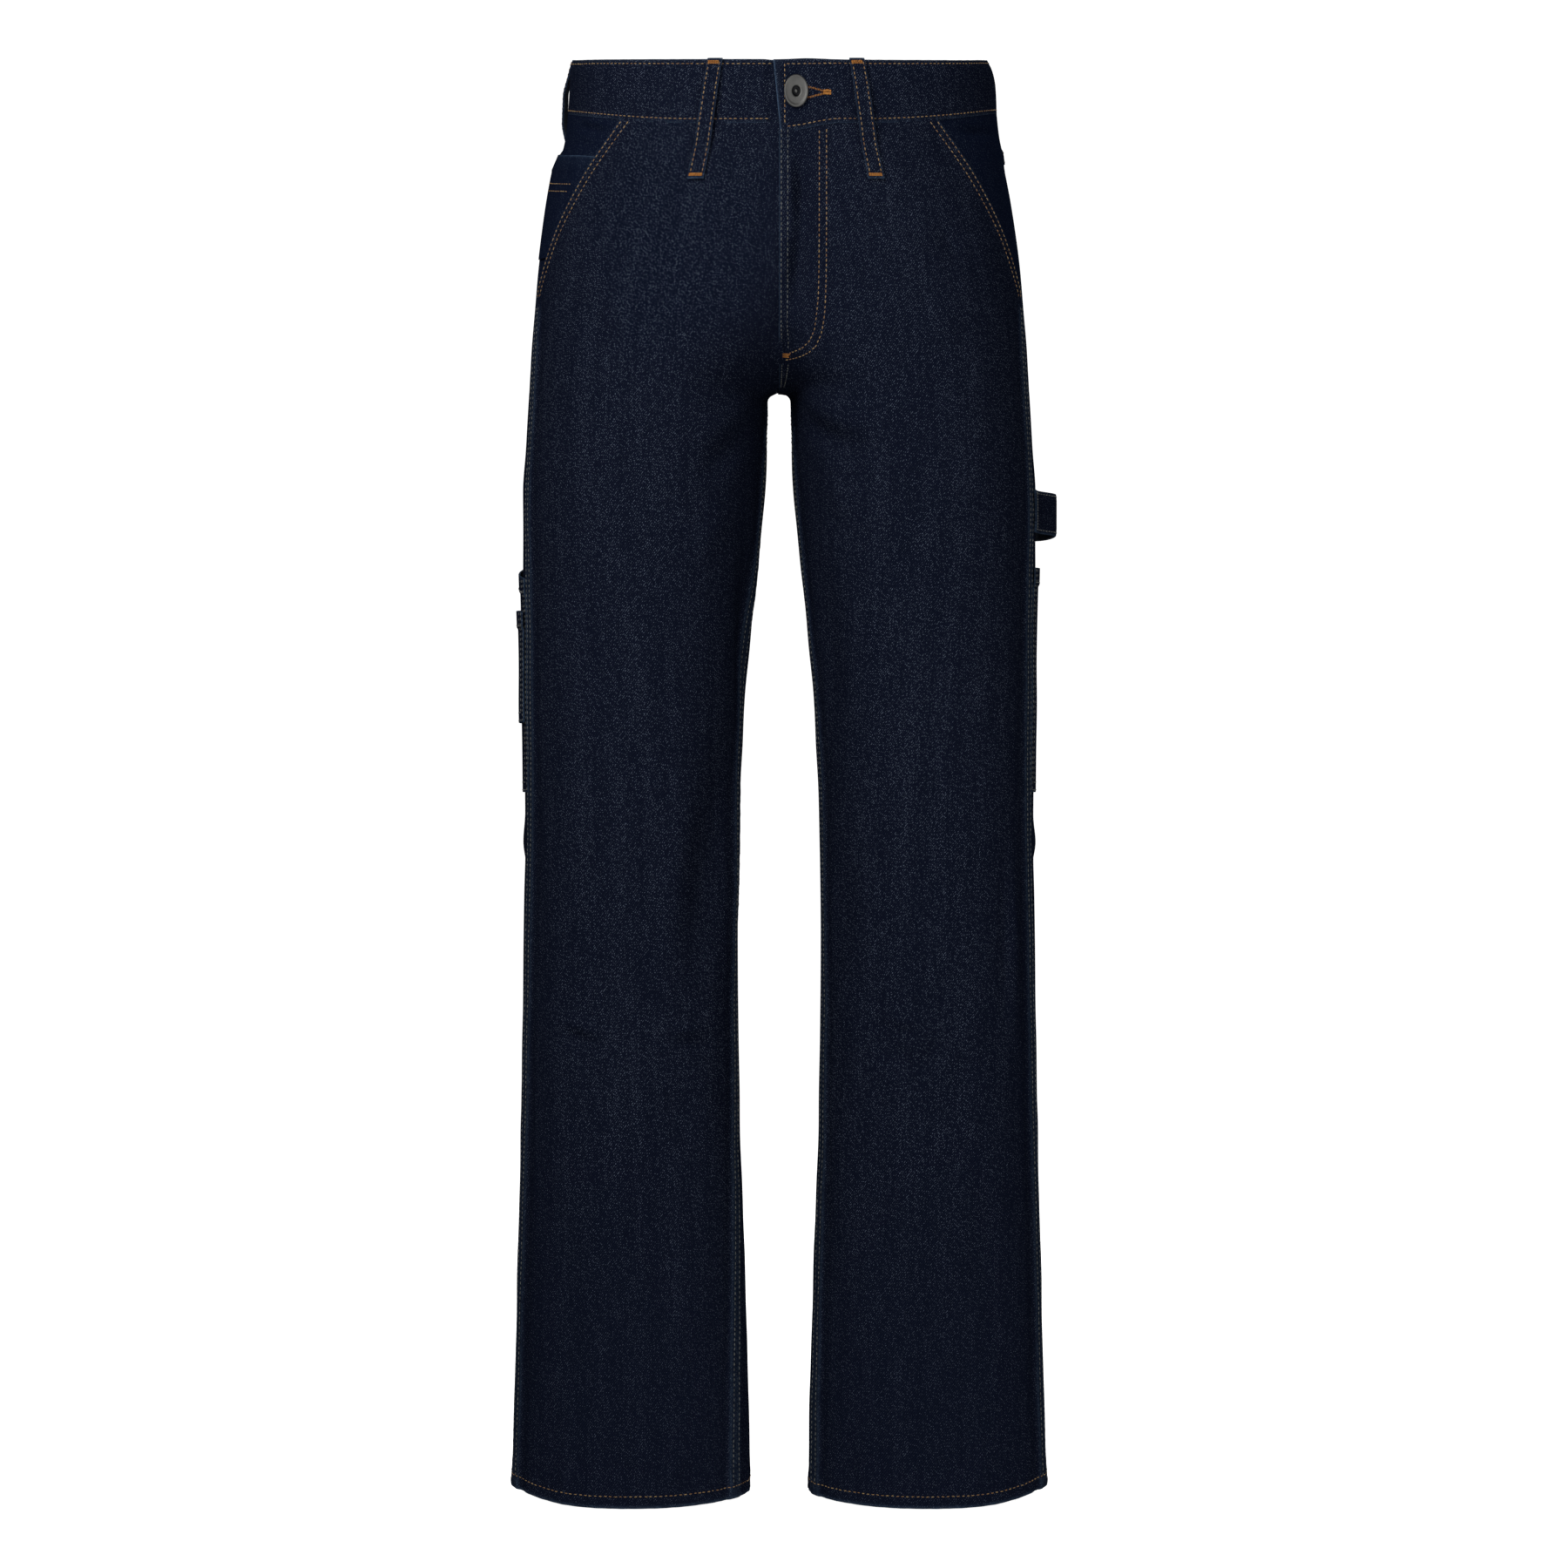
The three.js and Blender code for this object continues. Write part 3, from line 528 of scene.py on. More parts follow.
class Term:
    """A number that changes over the surface, written as Python maths."""

    def __init__(self, finish, socket):
        self.finish, self.socket = finish, socket

    def maths(self, operation, *others, first=True):
        values = [self, *others] if first else [*others, self]
        node = self.finish.node("ShaderNodeMath", {"operation": operation},
                                {i: value for i, value in enumerate(values)})
        return Term(self.finish, node.outputs[0])

    def __add__(self, other):
        return self.maths("ADD", other)

    def __sub__(self, other):
        return self.maths("SUBTRACT", other)

    def __rsub__(self, other):
        return self.maths("SUBTRACT", other, first=False)

    def __mul__(self, other):
        return self.maths("MULTIPLY", other)

    def __truediv__(self, other):
        return self.maths("DIVIDE", other)

    __radd__, __rmul__ = __add__, __mul__

    def sine(self):
        return self.maths("SINE")

    def clamped(self):
        return self.maths("MAXIMUM", 0.0).maths("MINIMUM", 1.0)


class Finish:
    """A material under construction."""

    def __init__(self, name):
        self.material = bpy.data.materials.new(name)
        self.material.use_nodes = True
        self.tree = self.material.node_tree
        self.shader = self.tree.nodes["Principled BSDF"]

    def node(self, kind, settings=None, values=None):
        node = self.tree.nodes.new(kind)
        for name, value in (settings or {}).items():
            setattr(node, name, value)
        self.fill(node, values or {})
        return node

    def fill(self, node, values):
        for name, value in values.items():
            socket = node.inputs[name] if isinstance(name, int) else next(
                s for s in node.inputs if name in (s.identifier, s.name))
            if isinstance(value, Term):
                self.tree.links.new(value.socket, socket)
            elif isinstance(value, bpy.types.NodeSocket):
                self.tree.links.new(value, socket)
            else:
                socket.default_value = value

    def mix(self, factor, first, second):
        """A colour between two others."""
        node = self.node("ShaderNodeMix", {"data_type": "RGBA", "clamp_factor": True},
                         {"Factor_Float": factor, "A_Color": first, "B_Color": second})
        return next(s for s in node.outputs if s.identifier == "Result_Color")

    def noise(self, vector, scale, detail=2.0, roughness=0.5):
        node = self.node("ShaderNodeTexNoise", {"noise_dimensions": "3D"},
                         {"Vector": vector, "Scale": scale, "Detail": detail,
                          "Roughness": roughness})
        return Term(self, node.outputs[0])

    def range(self, value, low, high):
        """0 below low, 1 above high, smooth between."""
        node = self.node("ShaderNodeMapRange", {"interpolation_type": "SMOOTHSTEP"},
                         {"Value": value, "From Min": low, "From Max": high})
        return Term(self, node.outputs[0])

    def stretched(self, vector, scale):
        node = self.node("ShaderNodeMapping", {"vector_type": "POINT"},
                         {"Vector": vector, "Scale": scale})
        return node.outputs[0]

    def bump(self, height, strength, distance):
        node = self.node("ShaderNodeBump", {},
                         {"Height": height, "Strength": strength, "Distance": distance})
        return node.outputs[0]


print("operators of a term:", [name for name in vars(Term) if name.endswith("__")][1:])


# %% [markdown]
# ## Denim
# Denim is a twill: dark warp threads float over pale weft, and each row steps sideways by
# one thread, which draws fine ribs that climb to the right. Seen close, pale flecks of
# weft show between the ribs, and no two threads are equally thick, which leaves faint
# upright streaks. The ribs are a sine across the UV map, the flecks a stretched noise cut
# off at a level, and the ribs drive the bump as well, so light catches what the colour
# shows. The flecks are fewest at the sides of the legs and lower down: partly less wear,
# partly painted shade, darker where less light falls.

# %% Denim material
RIB, DASH_WIDTH, DASH_LENGTH = 1.35, 0.62, 0.95
RIB_ANGLE = math.radians(52)
SLUBS, STREAKS = (1100, 40, 1), (75, 5, 1)
FLECK_LEVEL, BODY_LEVEL = (0.95, 1.09), (0.35, 1.15)
# Where the flecks thin out, at the sides of the legs and below the knee: partly wear, partly
# painted shade
LEG_START, LEG_END, LOWER_LEG = (0.035, 0.105), (0.18, 0.27), (-0.98, -0.72)


def denim(name, dark, mid, pale, rib_angle=RIB_ANGLE, worn_colour=(0.07, 0.115, 0.19, 1)):
    """A twill of three tones, drawn on the cloth's own millimetres."""
    finish = Finish(name)
    chart = finish.node("ShaderNodeUVMap", {"uv_map": "UVMap"}).outputs[0]
    parts = finish.node("ShaderNodeSeparateXYZ", {}, {"Vector": chart})
    u, v = Term(finish, parts.outputs[0]), Term(finish, parts.outputs[1])
    sway = (finish.noise(chart, 150.0, 1.0) - 0.5) * 0.0008
    over = u * math.sin(rib_angle) - v * math.cos(rib_angle) + sway
    along = u * math.cos(rib_angle) + v * math.sin(rib_angle)
    ribs = (over * (2 * math.pi / (RIB * MM))).sine() * 0.5 + 0.5
    twilled = finish.node("ShaderNodeCombineXYZ", {}, {
        0: over * (1.0 / (DASH_WIDTH * MM)), 1: along * (1.0 / (DASH_LENGTH * MM))}).outputs[0]
    dashes = finish.noise(twilled, 1.0, 0.0)
    slubs = finish.noise(finish.stretched(chart, SLUBS), 1.0, 2.0, 0.6)
    clusters = finish.noise(chart, 190.0, 2.0, 0.6)
    streaks = finish.noise(finish.stretched(chart, STREAKS), 1.0, 3.0, 0.6)
    weave = dashes + ribs * 0.18 + clusters * 0.05 + slubs * 0.2 + streaks * 0.14
    # Flecks thin out at the leg sides and lower down: partly wear, partly painted shade where less
    # light falls
    forward = u.maths("ABSOLUTE")
    middle = finish.range(forward, *LEG_START) * (1 - finish.range(forward, *LEG_END))
    upper = finish.range(v, *LOWER_LEG)
    fleck_wear_and_shade = (upper * 0.48 + 0.54) * (1.1 - (1 - middle) * upper * 0.55)
    flecks = finish.range(weave, *FLECK_LEVEL) * fleck_wear_and_shade
    body = finish.range(ribs * 0.6 + slubs * 0.6 + streaks * 0.3, *BODY_LEVEL)
    cloth_colour = finish.mix(flecks, finish.mix(body, dark, mid), pale)
    worn = Term(finish, finish.node("ShaderNodeAttribute",
                                    {"attribute_name": "worn"}).outputs["Fac"])
    rubbed = (worn * (clusters * 2.2 + dashes * 0.8 - 0.5)).clamped()
    colour = finish.mix(rubbed, cloth_colour, worn_colour)
    relief = ribs * 0.6 + clusters * 0.4
    finish.fill(finish.shader, {
        "Base Color": colour, "Roughness": 0.95 - flecks * 0.1,
        "Normal": finish.bump(relief, 0.25, 0.0004), "Specular IOR Level": 0.0})
    return finish.material


INDIGO = [(0.0052, 0.0076, 0.0180, 1), (0.0098, 0.0134, 0.0295, 1), (0.128, 0.158, 0.222, 1)]
# SHADED is a bluer copy of the denim with dimmer pale flecks, painted shade for the hip facings and
# rule pocket inside the pocket mouths
SHADED = [(0.0050, 0.0085, 0.0230, 1), (0.0080, 0.0125, 0.0310, 1), (0.060, 0.080, 0.120, 1)]
denim_face = denim("denim", *INDIGO)
denim_band = denim("denim_band", *INDIGO, rib_angle=math.radians(48))
denim_facing_shaded = denim("denim_facing_shaded", *SHADED)
denim_inside = denim("denim_inside", (0.06, 0.075, 0.10, 1), (0.13, 0.15, 0.19, 1),
                     (0.42, 0.45, 0.48, 1), worn_colour=(0.3, 0.34, 0.4, 1))
FACE, BAND = [denim_face, denim_inside], [denim_band, denim_inside]
# The facings and rule pocket take the shaded copy: painted shade in the pocket mouths
FACING_SHADED = [denim_facing_shaded, denim_inside]
print("denims:", denim_face.name, denim_band.name, denim_inside.name)

# %% [markdown]
# ## The four leg panels
# Each leg is two panels, a front and a wider back, felled together at the outseam and the
# inseam: the front's edge is turned in and laps over the back, so it stands a little
# proud for the width of the seam. The hem is turned up inside. The grid simply goes on
# round the fold and up the inside of the leg, as the cloth does.

# %% Leg panels
HALF_SEAM, BAND_SEAM = 0.15, 0.4
SLANT_END, SLANT_LIFT, SLANT_BAND = -181, 1.0, 16
FLY_END, FLY_FADE, FLY_WIDTH, FLY_LIFT, FLY_DROP = -229, 8, 34, 1.1, -0.9
FELL_WIDTH, FELL_LIFT = 12.5, 1.2
STRETCH_END = -162
HEM_FOLD, HEM_TURN = 1.3, 14.0
FRONT_TOP, BACK_TOP = -48.0, -96.0
HEM_CLIMB, FLY_LAP, CENTRE_LAP = 5.5, 2.5, 1.2
FELL_DIP, FELL_PUCKER, HEM_ROPING = 0.9, 0.16, 0.6
SEAT_SEAM, SEAT_FELL, SEAT_RISE = (-262, -240), 10.5, 0.5
FINE = [0, 0.35, 0.8, 1.6, 3, 5, 7, 9, 11, 12, 12.8, 13.8, 15.5]


def front_edge(height):
    """The front's outer edge: the pocket's slant, then the outseam."""
    outseam = outseam_at(height)
    slant = np.maximum(outseam + 0.8, at_height(SLANT, height))
    return np.where(height < SLANT_END, outseam, slant)


def front_inner(height):
    """The front's inner edge: the centre, then the inseam."""
    return front_arc(height) - np.where(height > FORK_HEIGHT, 0, inseam_at(height) + HALF_SEAM)


def back_inner(height):
    """The back's inner edge, which meets the front's."""
    return -back_arc(height) - np.where(height > FORK_HEIGHT, 0, inseam_at(height) - HALF_SEAM)


def panel_way(start, inner, height, t):
    """Way across a panel, with its columns kept even past the fork."""
    within = (height < -150) & (height > -300)
    past = ease(-150, -300, height)
    run = lerp(inner(np.array(-150.0)), inner(np.array(-300.0)), past)
    guide = np.where(within, run, inner(height))
    return lerp(start, guide, t) + (inner(height) - guide) * t**5


WAIST_HALF = float(front_arc(-20) + back_arc(-20))


def waist_scale(height):
    """How much longer the way round is than at the band's middle."""
    return (front_arc(height) + back_arc(height)) / WAIST_HALF


def band_bottom(place):
    """The band's lower edge, a little higher at the front."""
    return -40 - 7.6 * (1 - ease(60, 200, np.abs(place)))


def tab_bottom(place):
    """The tab's end is deeper than the band."""
    return band_bottom(place) - 7 * (1 - ease(0, 45, place))


def band_seam(side, way):
    """Height of the seam below the band, at a way."""
    place = (front_arc(-40) - way) / waist_scale(-40)
    return (tab_bottom(place) if side == LEFT else band_bottom(place)) - BAND_SEAM


def near(distance, width, soft=1.2):
    """1 within a width of an edge, 0 past it."""
    return 1 - ease(width - soft, width + soft, distance)


def at_end(t):
    """1 at the last edge of a piece, 0 a few millimetres before it."""
    return t**40


def front_surface(side, way, height):
    """How far the front's face stands off the body."""
    fly = ease(FLY_END - FLY_FADE, FLY_END + FLY_FADE, height)
    to_centre = front_arc(height) - way
    lap = (FLY_LIFT if side == LEFT else FLY_DROP) * fly * (1 - ease(0, FLY_WIDTH, to_centre))
    from_edge = way - front_edge(height)
    mouth = ease(SLANT_END, SLANT_END + FLY_FADE, height)
    lift = lap + SLANT_LIFT * mouth * (1 - ease(0, SLANT_BAND, from_edge))
    below = ease(SLANT_END, SLANT_END - 12, height)
    lift = lift + FELL_LIFT * below * near(from_edge, FELL_WIDTH, 0.9)
    lift = lift - FELL_DIP * below * bell(from_edge - 17, 3.5)
    leg = ease(FORK_HEIGHT + 2, FORK_HEIGHT - 20, height)
    from_inseam = front_inner(height) - way
    lift = lift + FELL_LIFT * leg * near(from_inseam, FELL_WIDTH, 0.9)
    lift = lift - 0.7 * leg * bell(from_inseam - 16.5, 3.5)
    sewn_down = below * near(from_edge, 9, 8) + leg * near(from_inseam, 9, 8)
    pucker = FELL_PUCKER * uneven(height, 13) * sewn_down
    rise = (0.5 if side == LEFT else -0.4) * (1 - fly) * ease(*SEAT_SEAM, height)
    return lift + pucker + rise * near(to_centre, 9) + hem_roping(way, height)


def hem_roping(way, height):
    """Slanting puckers where the turned hem is stitched down."""
    return HEM_ROPING * bell(height - HEM_HEIGHT - 7, 11) * uneven(way + 0.5 * height, 15)


def back_surface(side, way, height):
    """How far the back's face stands off the body, sunk a ply where the front laps it."""
    dip = -FELL_DIP * near(outseam_at(height) - way, 1.2, 1.0)
    leg = ease(FORK_HEIGHT + 2, FORK_HEIGHT - 20, height)
    inner = way - back_inner(height)
    dip = dip - FELL_DIP * leg * near(inner, 1.2, 1.0)
    seat = ease(*SEAT_SEAM, height) * near(inner, SEAT_FELL)
    under = side * SEAT_RISE
    return dip + under * seat + hem_roping(way, height)


def hem_raise(way, height):
    """The hem climbs a little at the outer side of the leg."""
    return HEM_CLIMB * bell(way - 15, 42) * ease(-940, HEM_HEIGHT, height)


def hem_rub(height):
    """The fold of the hem rubs pale."""
    return 0.45 * bell(height - HEM_HEIGHT, 1.6)


def round_hem(height, lift):
    """Past the hem the cloth goes round a fold and up the inside."""
    past = np.maximum(0, HEM_HEIGHT + HEM_FOLD - height)
    turn = np.clip(past / (math.pi * HEM_FOLD), 0, 1) * math.pi
    inside = np.maximum(0, past - math.pi * HEM_FOLD)
    folded = HEM_HEIGHT + HEM_FOLD - HEM_FOLD * np.sin(turn) + inside
    return np.where(past > 0, folded, height), lift - HEM_FOLD * (1 - np.cos(turn))


def leg_rows(top):
    """Heights of a panel's rows, closest at the fork and round the hem."""
    fold = HEM_HEIGHT + HEM_FOLD - np.linspace(0, math.pi * HEM_FOLD, 9)
    turn_up = fold[-1] - np.linspace(2, HEM_TURN, 5)
    fork = np.arange(-236, -262, -1.5)
    return np.unique(np.concatenate([
        -np.linspace(-top, 236, 62), fork, -np.linspace(262, 1020, 240),
        -np.linspace(1022, 1048, 12), -np.linspace(1050, -fold[0], 4), fold, turn_up]))[::-1]


def stretched_rows(height, first, top):
    """Rows near the top of a panel stretched to meet its slanting edge."""
    moved = top + (height - first) * (STRETCH_END - top) / (STRETCH_END - first)
    return np.where(height > STRETCH_END, moved, height)


def front_panel(side):
    start, end = front_edge(np.array(FRONT_TOP)), front_inner(np.array(FRONT_TOP))

    def lay(t, v):
        top = band_seam(side, lerp(start, end, t)) + 1.5
        flat_height = stretched_rows(v, FRONT_TOP, top)
        height, _ = round_hem(flat_height, 0)
        way = panel_way(front_edge(height) + HALF_SEAM, front_inner, height, t)
        lift = front_surface(side, way, height)
        height, lift = round_hem(flat_height, lift)
        under = FLY_LAP * at_end(t) * ease(FORK_HEIGHT, -225, height) * (side == RIGHT)
        from_seam = np.maximum(0, front_inner(height) - way)
        worn = rub(way - front_edge(height), 0.45, 0.7) + hem_rub(v)
        worn = worn + rub(from_seam, 0.4 if side == LEFT else 0.0, 0.5)
        for edge, shown in ((way - front_edge(height), ease(SLANT_END, SLANT_END - 12, height)),
                            (from_seam, ease(FORK_HEIGHT + 2, FORK_HEIGHT - 20, height))):
            ladder = 0.5 + 0.5 * np.clip(uneven(height + 0.6 * edge, 6.5), -1, 1)
            worn = worn + shown * near(edge, 12, 0.6) * (0.07 + 0.1 * ladder)
            worn = worn + 0.12 * shown * bell(edge - 11.6, 0.8)
        return side, way + under, height + hem_raise(way, height), lift, worn

    columns = steps(0, 235, FINE, FINE, 76)
    return cloth(f"cloth_front_{SIDES[side]}", columns, leg_rows(FRONT_TOP), lay, FACE)


def panel_cut(start, inner, top):
    """Width, length and area in metres of a panel laid flat."""
    height = np.linspace(top, HEM_HEIGHT - HEM_TURN, 300)
    width = np.abs(inner(height) - start(height))
    length = top - HEM_HEIGHT + HEM_TURN
    area = float(width.mean() * length) * MM * MM
    return (round(float(width.max()) * MM, 3), round(length * MM, 3)), round(area, 4)


front_cut, front_area = panel_cut(front_edge, front_inner, -44)
for side, word in SIDES.items():
    front = front_panel(side)
    stand_for(front, f"front_{word}")
print("front cut:", front_cut, "m, area", front_area)

# %% [markdown]
# ## The seat
# Each back panel hangs from a yoke, a low wedge between it and the waistband that is
# deepest at the centre. The yoke takes the place of darts: it lets flat cloth go round
# the seat. Both are laid as the fronts are, and lap a little at the centre seam so that
# no light shows through.

# %% Back panels and yokes


def yoke_line(way):
    """Height of the seam between the yoke and the back panel."""
    return lerp(-78, -114, ease(-20, -300, way))


def back_panel(side):
    start, end = outseam_at(BACK_TOP), -back_arc(np.array(BACK_TOP))

    def lay(t, v):
        top = yoke_line(lerp(start, end, t)) + 1.5
        flat_height = stretched_rows(v, BACK_TOP, top)
        height, _ = round_hem(flat_height, 0)
        way = panel_way(outseam_at(height) - HALF_SEAM, back_inner, height, t)
        dip = -0.8 * near(yoke_line(way) - height, 0.8, 1.0) * (height > -140)
        lift = back_surface(side, way, height) + dip
        height, lift = round_hem(flat_height, lift)
        out = CENTRE_LAP * (at_end(1 - t) - at_end(t))
        return side, way + out, height + hem_raise(way, height), lift, hem_rub(v)

    columns = steps(0, 300, FINE, FINE, 80)
    return cloth(f"cloth_back_{SIDES[side]}", columns, leg_rows(BACK_TOP), lay, FACE)


def yoke(side):
    start, end = outseam_at(BACK_TOP), -back_arc(np.array(BACK_TOP))

    def lay(t, v):
        place = lerp(start, end, t)
        height = lerp(band_seam(side, place) + 1.5, yoke_line(place) + HALF_SEAM, v)
        way = lerp(outseam_at(height) - HALF_SEAM, -back_arc(height), t)
        seat = near(way + back_arc(height), SEAT_FELL) * side * SEAT_RISE
        edge = height - yoke_line(way)
        lift = 0.8 * near(edge, 10.5) + seat
        return side, way - CENTRE_LAP * at_end(t), height, lift, rub(edge, 0.45, 0.7)

    rows = 1 - steps(0, 50, FINE, [0, 1], 8)[::-1]
    columns = steps(0, 250, [0, 1, 3], FINE, 70)
    return cloth(f"cloth_yoke_{SIDES[side]}", columns, rows, lay, FACE)


back_cut, back_area = panel_cut(outseam_at, back_inner, -96)
for side, word in SIDES.items():
    back = back_panel(side)
    stand_for(back, f"back_{word}")
    stand_for(yoke(side), f"yoke_{word}")
print("back cut:", back_cut, "m, area", back_area)

# %% [markdown]
# ## Slanted pockets
# The pocket's mouth is the front panel's own folded edge. What shows in it is the hip
# facing, a piece of the same denim sewn to the pocket bag, drawn here in a darker, bluer
# copy of the denim as painted shade inside the mouth. On the wearer's right a rule pocket
# lies on the facing and slips in under the edge, in the same shaded copy. Both are made
# wider than what shows and go on under the front, so the mouth is a real overlap.

# %% Hip facings and rule pocket
FACING_UNDER = 7.0
RULE_TOP, RULE_FOOT, RULE_LENGTH, RULE_CLOTH = -70, -150, 80, 1.3


def facing_lift(share):
    """The facing lies below the pocket's edge, and sinks under it."""
    return -0.8 * ease(0, 1, share) - 0.35 * ease(0.9, 1.2, share)


def hip_facing(side):
    start, end = outseam_at(FRONT_TOP), front_edge(np.array(FRONT_TOP))

    def lay(t, v):
        top = band_seam(side, lerp(start, end, t)) + 1.5
        height = stretched_rows(v, FRONT_TOP, top)
        low, high = outseam_at(height) + HALF_SEAM, front_edge(height)
        way = lerp(low, high + FACING_UNDER, t)
        share = (way - low) / np.maximum(1, high - low)
        return side, way, height, facing_lift(share), rub(way - low, 0.3, 0.8)

    columns, rows = steps(0, 70, [0, 0.4, 1, 2], [0, 2, 4], 24), -np.linspace(48, 184, 60)
    return cloth(f"cloth_hip_facing_{SIDES[side]}", columns, rows, lay, FACING_SHADED)


def rule_pocket():
    def lay(t, v):
        height = lerp(RULE_TOP - 3 * t, RULE_FOOT, v)
        low, high = outseam_at(height), front_edge(height)
        way = lerp(low + 3, high + 4, t)
        share = (way - low) / (high - low)
        hem = 0.5 * near(v * RULE_LENGTH, 13)
        lift = facing_lift(share) + 0.3 + RULE_CLOTH + hem * (1 - ease(0.75, 0.95, share))
        lift = lift - 1.6 * ease(0.82, 1.0, share)
        return RIGHT, way, height, lift, rub(v * RULE_LENGTH, 0.6, 0.8)

    rows = steps(0, RULE_LENGTH, [0, 0.4, 1, 2, 12, 13, 14], [0, 1], 26)
    columns = steps(0, 40, [0, 0.4, 1, 2], [0, 2], 16)
    return cloth("cloth_rule_pocket", columns, rows, lay, FACING_SHADED)


for side, word in SIDES.items():
    stand_for(hip_facing(side), f"hip_facing_{word}")
stand_for(rule_pocket(), "rule_pocket")
print("pocket mouths:", 2)

# %% [markdown]
# ## Waistband and belt loops
# The band is one long strip, folded over the raw top of the panels. Its left end is a
# tab that laps over the right end and carries the buttonhole. One grid goes all the way
# round, and a small swell between the two rows of stitches gives the padded look.

# %% Waistband
BAND_CLOTH, BAND_SWELL, TAB_REACH = 2.2, 0.55, 32
ROW_SHARES = (0.07, 0.93)


def band_place(place, height):
    """Side and way of a place round the waist, from the centre front."""
    side = np.where(place < 0, RIGHT, LEFT)
    return side, front_arc(height) - np.abs(place) * waist_scale(height)


def tab_rise(place):
    """The tab lies on the right end of the band, so it stands proud of it."""
    return np.where(place < 0, 0, 0.9 * (1 - ease(22.5, 90, place)))


def band_surface(place, height):
    """Padded look between the two rows of stitches, drawn in at each row."""
    bottom = np.where(place < 0, band_bottom(place), tab_bottom(place))
    share = height / bottom
    belly = BAND_SWELL * np.sin(math.pi * np.clip((share - 0.06) / 0.86, 0, 1)) ** 0.7
    roping = 0.16 * uneven(place + 0.4 * height, 14) * (1 - 0.6 * np.sin(math.pi * share))
    return tab_rise(place) + belly + roping + 0.25 * uneven(place, 170) * np.sin(math.pi * share)


def waistband():
    whole = 2 * WAIST_HALF
    run = np.unique(np.concatenate([
        [0, 0.4, 1, 2, 3.5], np.linspace(5, 62, 26), np.linspace(62, whole - 44, 380),
        whole + np.linspace(-44, 30, 34), [whole + TAB_REACH - 0.4, whole + TAB_REACH]]))
    rows = steps(0, 47, [0, 0.5, 1.2, 2.4, 4], [0, 0.5, 1.2, 2.4, 4], 14)

    def lay(t, v):
        on_tab = t < WAIST_HALF
        edge = lerp(-4, 1.0, v)
        place = np.where(on_tab, edge + t * (1 - edge / 60 * (t < 60)), t - whole)
        bottom = np.where(on_tab, tab_bottom(np.maximum(place, 0)), band_bottom(place))
        height = bottom * v
        lift = np.where(on_tab, band_surface(np.maximum(place, 0), height),
                        band_surface(-np.abs(place), height))
        lift = lift + np.where(on_tab, 0, -2.6 * ease(-12, -5, place))
        side, way = band_place(place, height)
        height = height + (0.9 * bell(place - 21, 14) - 0.5) * (1 - v) ** 2 * on_tab
        worn = rub(from_ends(v, np.abs(bottom)), 0.22, 0.9) + rub(t, 1.3, 0.45)
        return side, way, height, lift, worn

    return cloth("cloth_waistband", run, rows, lay, BAND, thickness=BAND_CLOTH, round_edge=0.7)


stand_for(waistband(), "waistband")

# %% [markdown]
# ## Belt loops
# A belt loop is a strip folded in three, tacked over the band's top edge and again just
# below it. Each one here goes through one table row: where its two ends lie round the
# waist and how far its middle stands off, so the slant of each loop is easy to adjust.

# %% Belt loops
LOOP_WIDTH, LOOP_TOP, LOOP_BOTTOM, LOOP_REST = 11.5, 0.5, -92.5, 0.9
LOOP_ROWS = [
    # name, place of the top end, place of the lower end, how far it stands off
    ("front_left", 56.5, 64, 2.6), ("front_right", -46.5, -55, 2.6), ("side_left", 250, 257, 3.3),
    ("side_right", -238, -254, 5.4), ("back", 0, 0, 3),
]
LOOP_CLOTH, LOOP_LENGTH = 1.6, 89


def loop_lift(v, across_share, stand_off, top):
    """A loop lies flat at both ends and stands off where the belt goes."""
    rise = ease(0.03, 0.3, v) * (1 - ease(0.5, 0.76, v))
    crown = 0.35 * (1 - (2 * across_share - 1) ** 4)
    on_tab = tab_rise(top if top > 0 else -1) * (1 - v)
    return LOOP_REST + LOOP_CLOTH + stand_off * rise + crown + on_tab


def loop_place(top, bottom, back, v, off):
    """Side and way of a point of a loop, off its middle line."""
    height = lerp(LOOP_TOP, LOOP_BOTTOM, v)
    if back:
        return np.where(off < 0, RIGHT, LEFT), np.abs(off) - back_arc(height), height
    side, way = band_place(lerp(top, bottom, v) + off, height)
    return side, way, height


def belt_loop(name, top, bottom, stand_off):
    back = name == "back"

    def lay(t, v):
        side, way, height = loop_place(top, bottom, back, v, (t - 0.5) * LOOP_WIDTH)
        worn = rub(from_ends(t, LOOP_WIDTH), 0.25, 0.7) + rub(from_ends(v, LOOP_LENGTH), 0.4, 0.8)
        return side, way, height, loop_lift(v, t, stand_off, top), worn

    columns = steps(0, LOOP_WIDTH, [0, 0.5, 1.2], [0, 0.5, 1.2], 7)
    return cloth(f"cloth_belt_loop_{name}", columns, np.linspace(0, 1, 44), lay, BAND,
                 thickness=LOOP_CLOTH, round_edge=0.5)


for row in LOOP_ROWS:
    stand_for(belt_loop(*row), f"belt_loop_{row[0]}")
print("belt loops:", len(LOOP_ROWS))

# %% [markdown]
# ## Patch pockets
# Patch pockets are cut, turned in all round and topstitched onto the finished leg. They
# follow the leg's curve and its creases, so they are laid by the same table with a little
# lift, and their mouth hems are a layer thicker. The two on the seat come first: five
# sided, narrower at the foot, and a little puffed in the middle.

# %% Back pockets
POCKET_CLOTH, BACK_POCKET_REST = 1.3, 0.5
BACK_POCKET_WIDTH, BACK_POCKET_LENGTH = 134, 144
POCKET_EDGE = [0, 0.4, 1, 2, 4, 8]


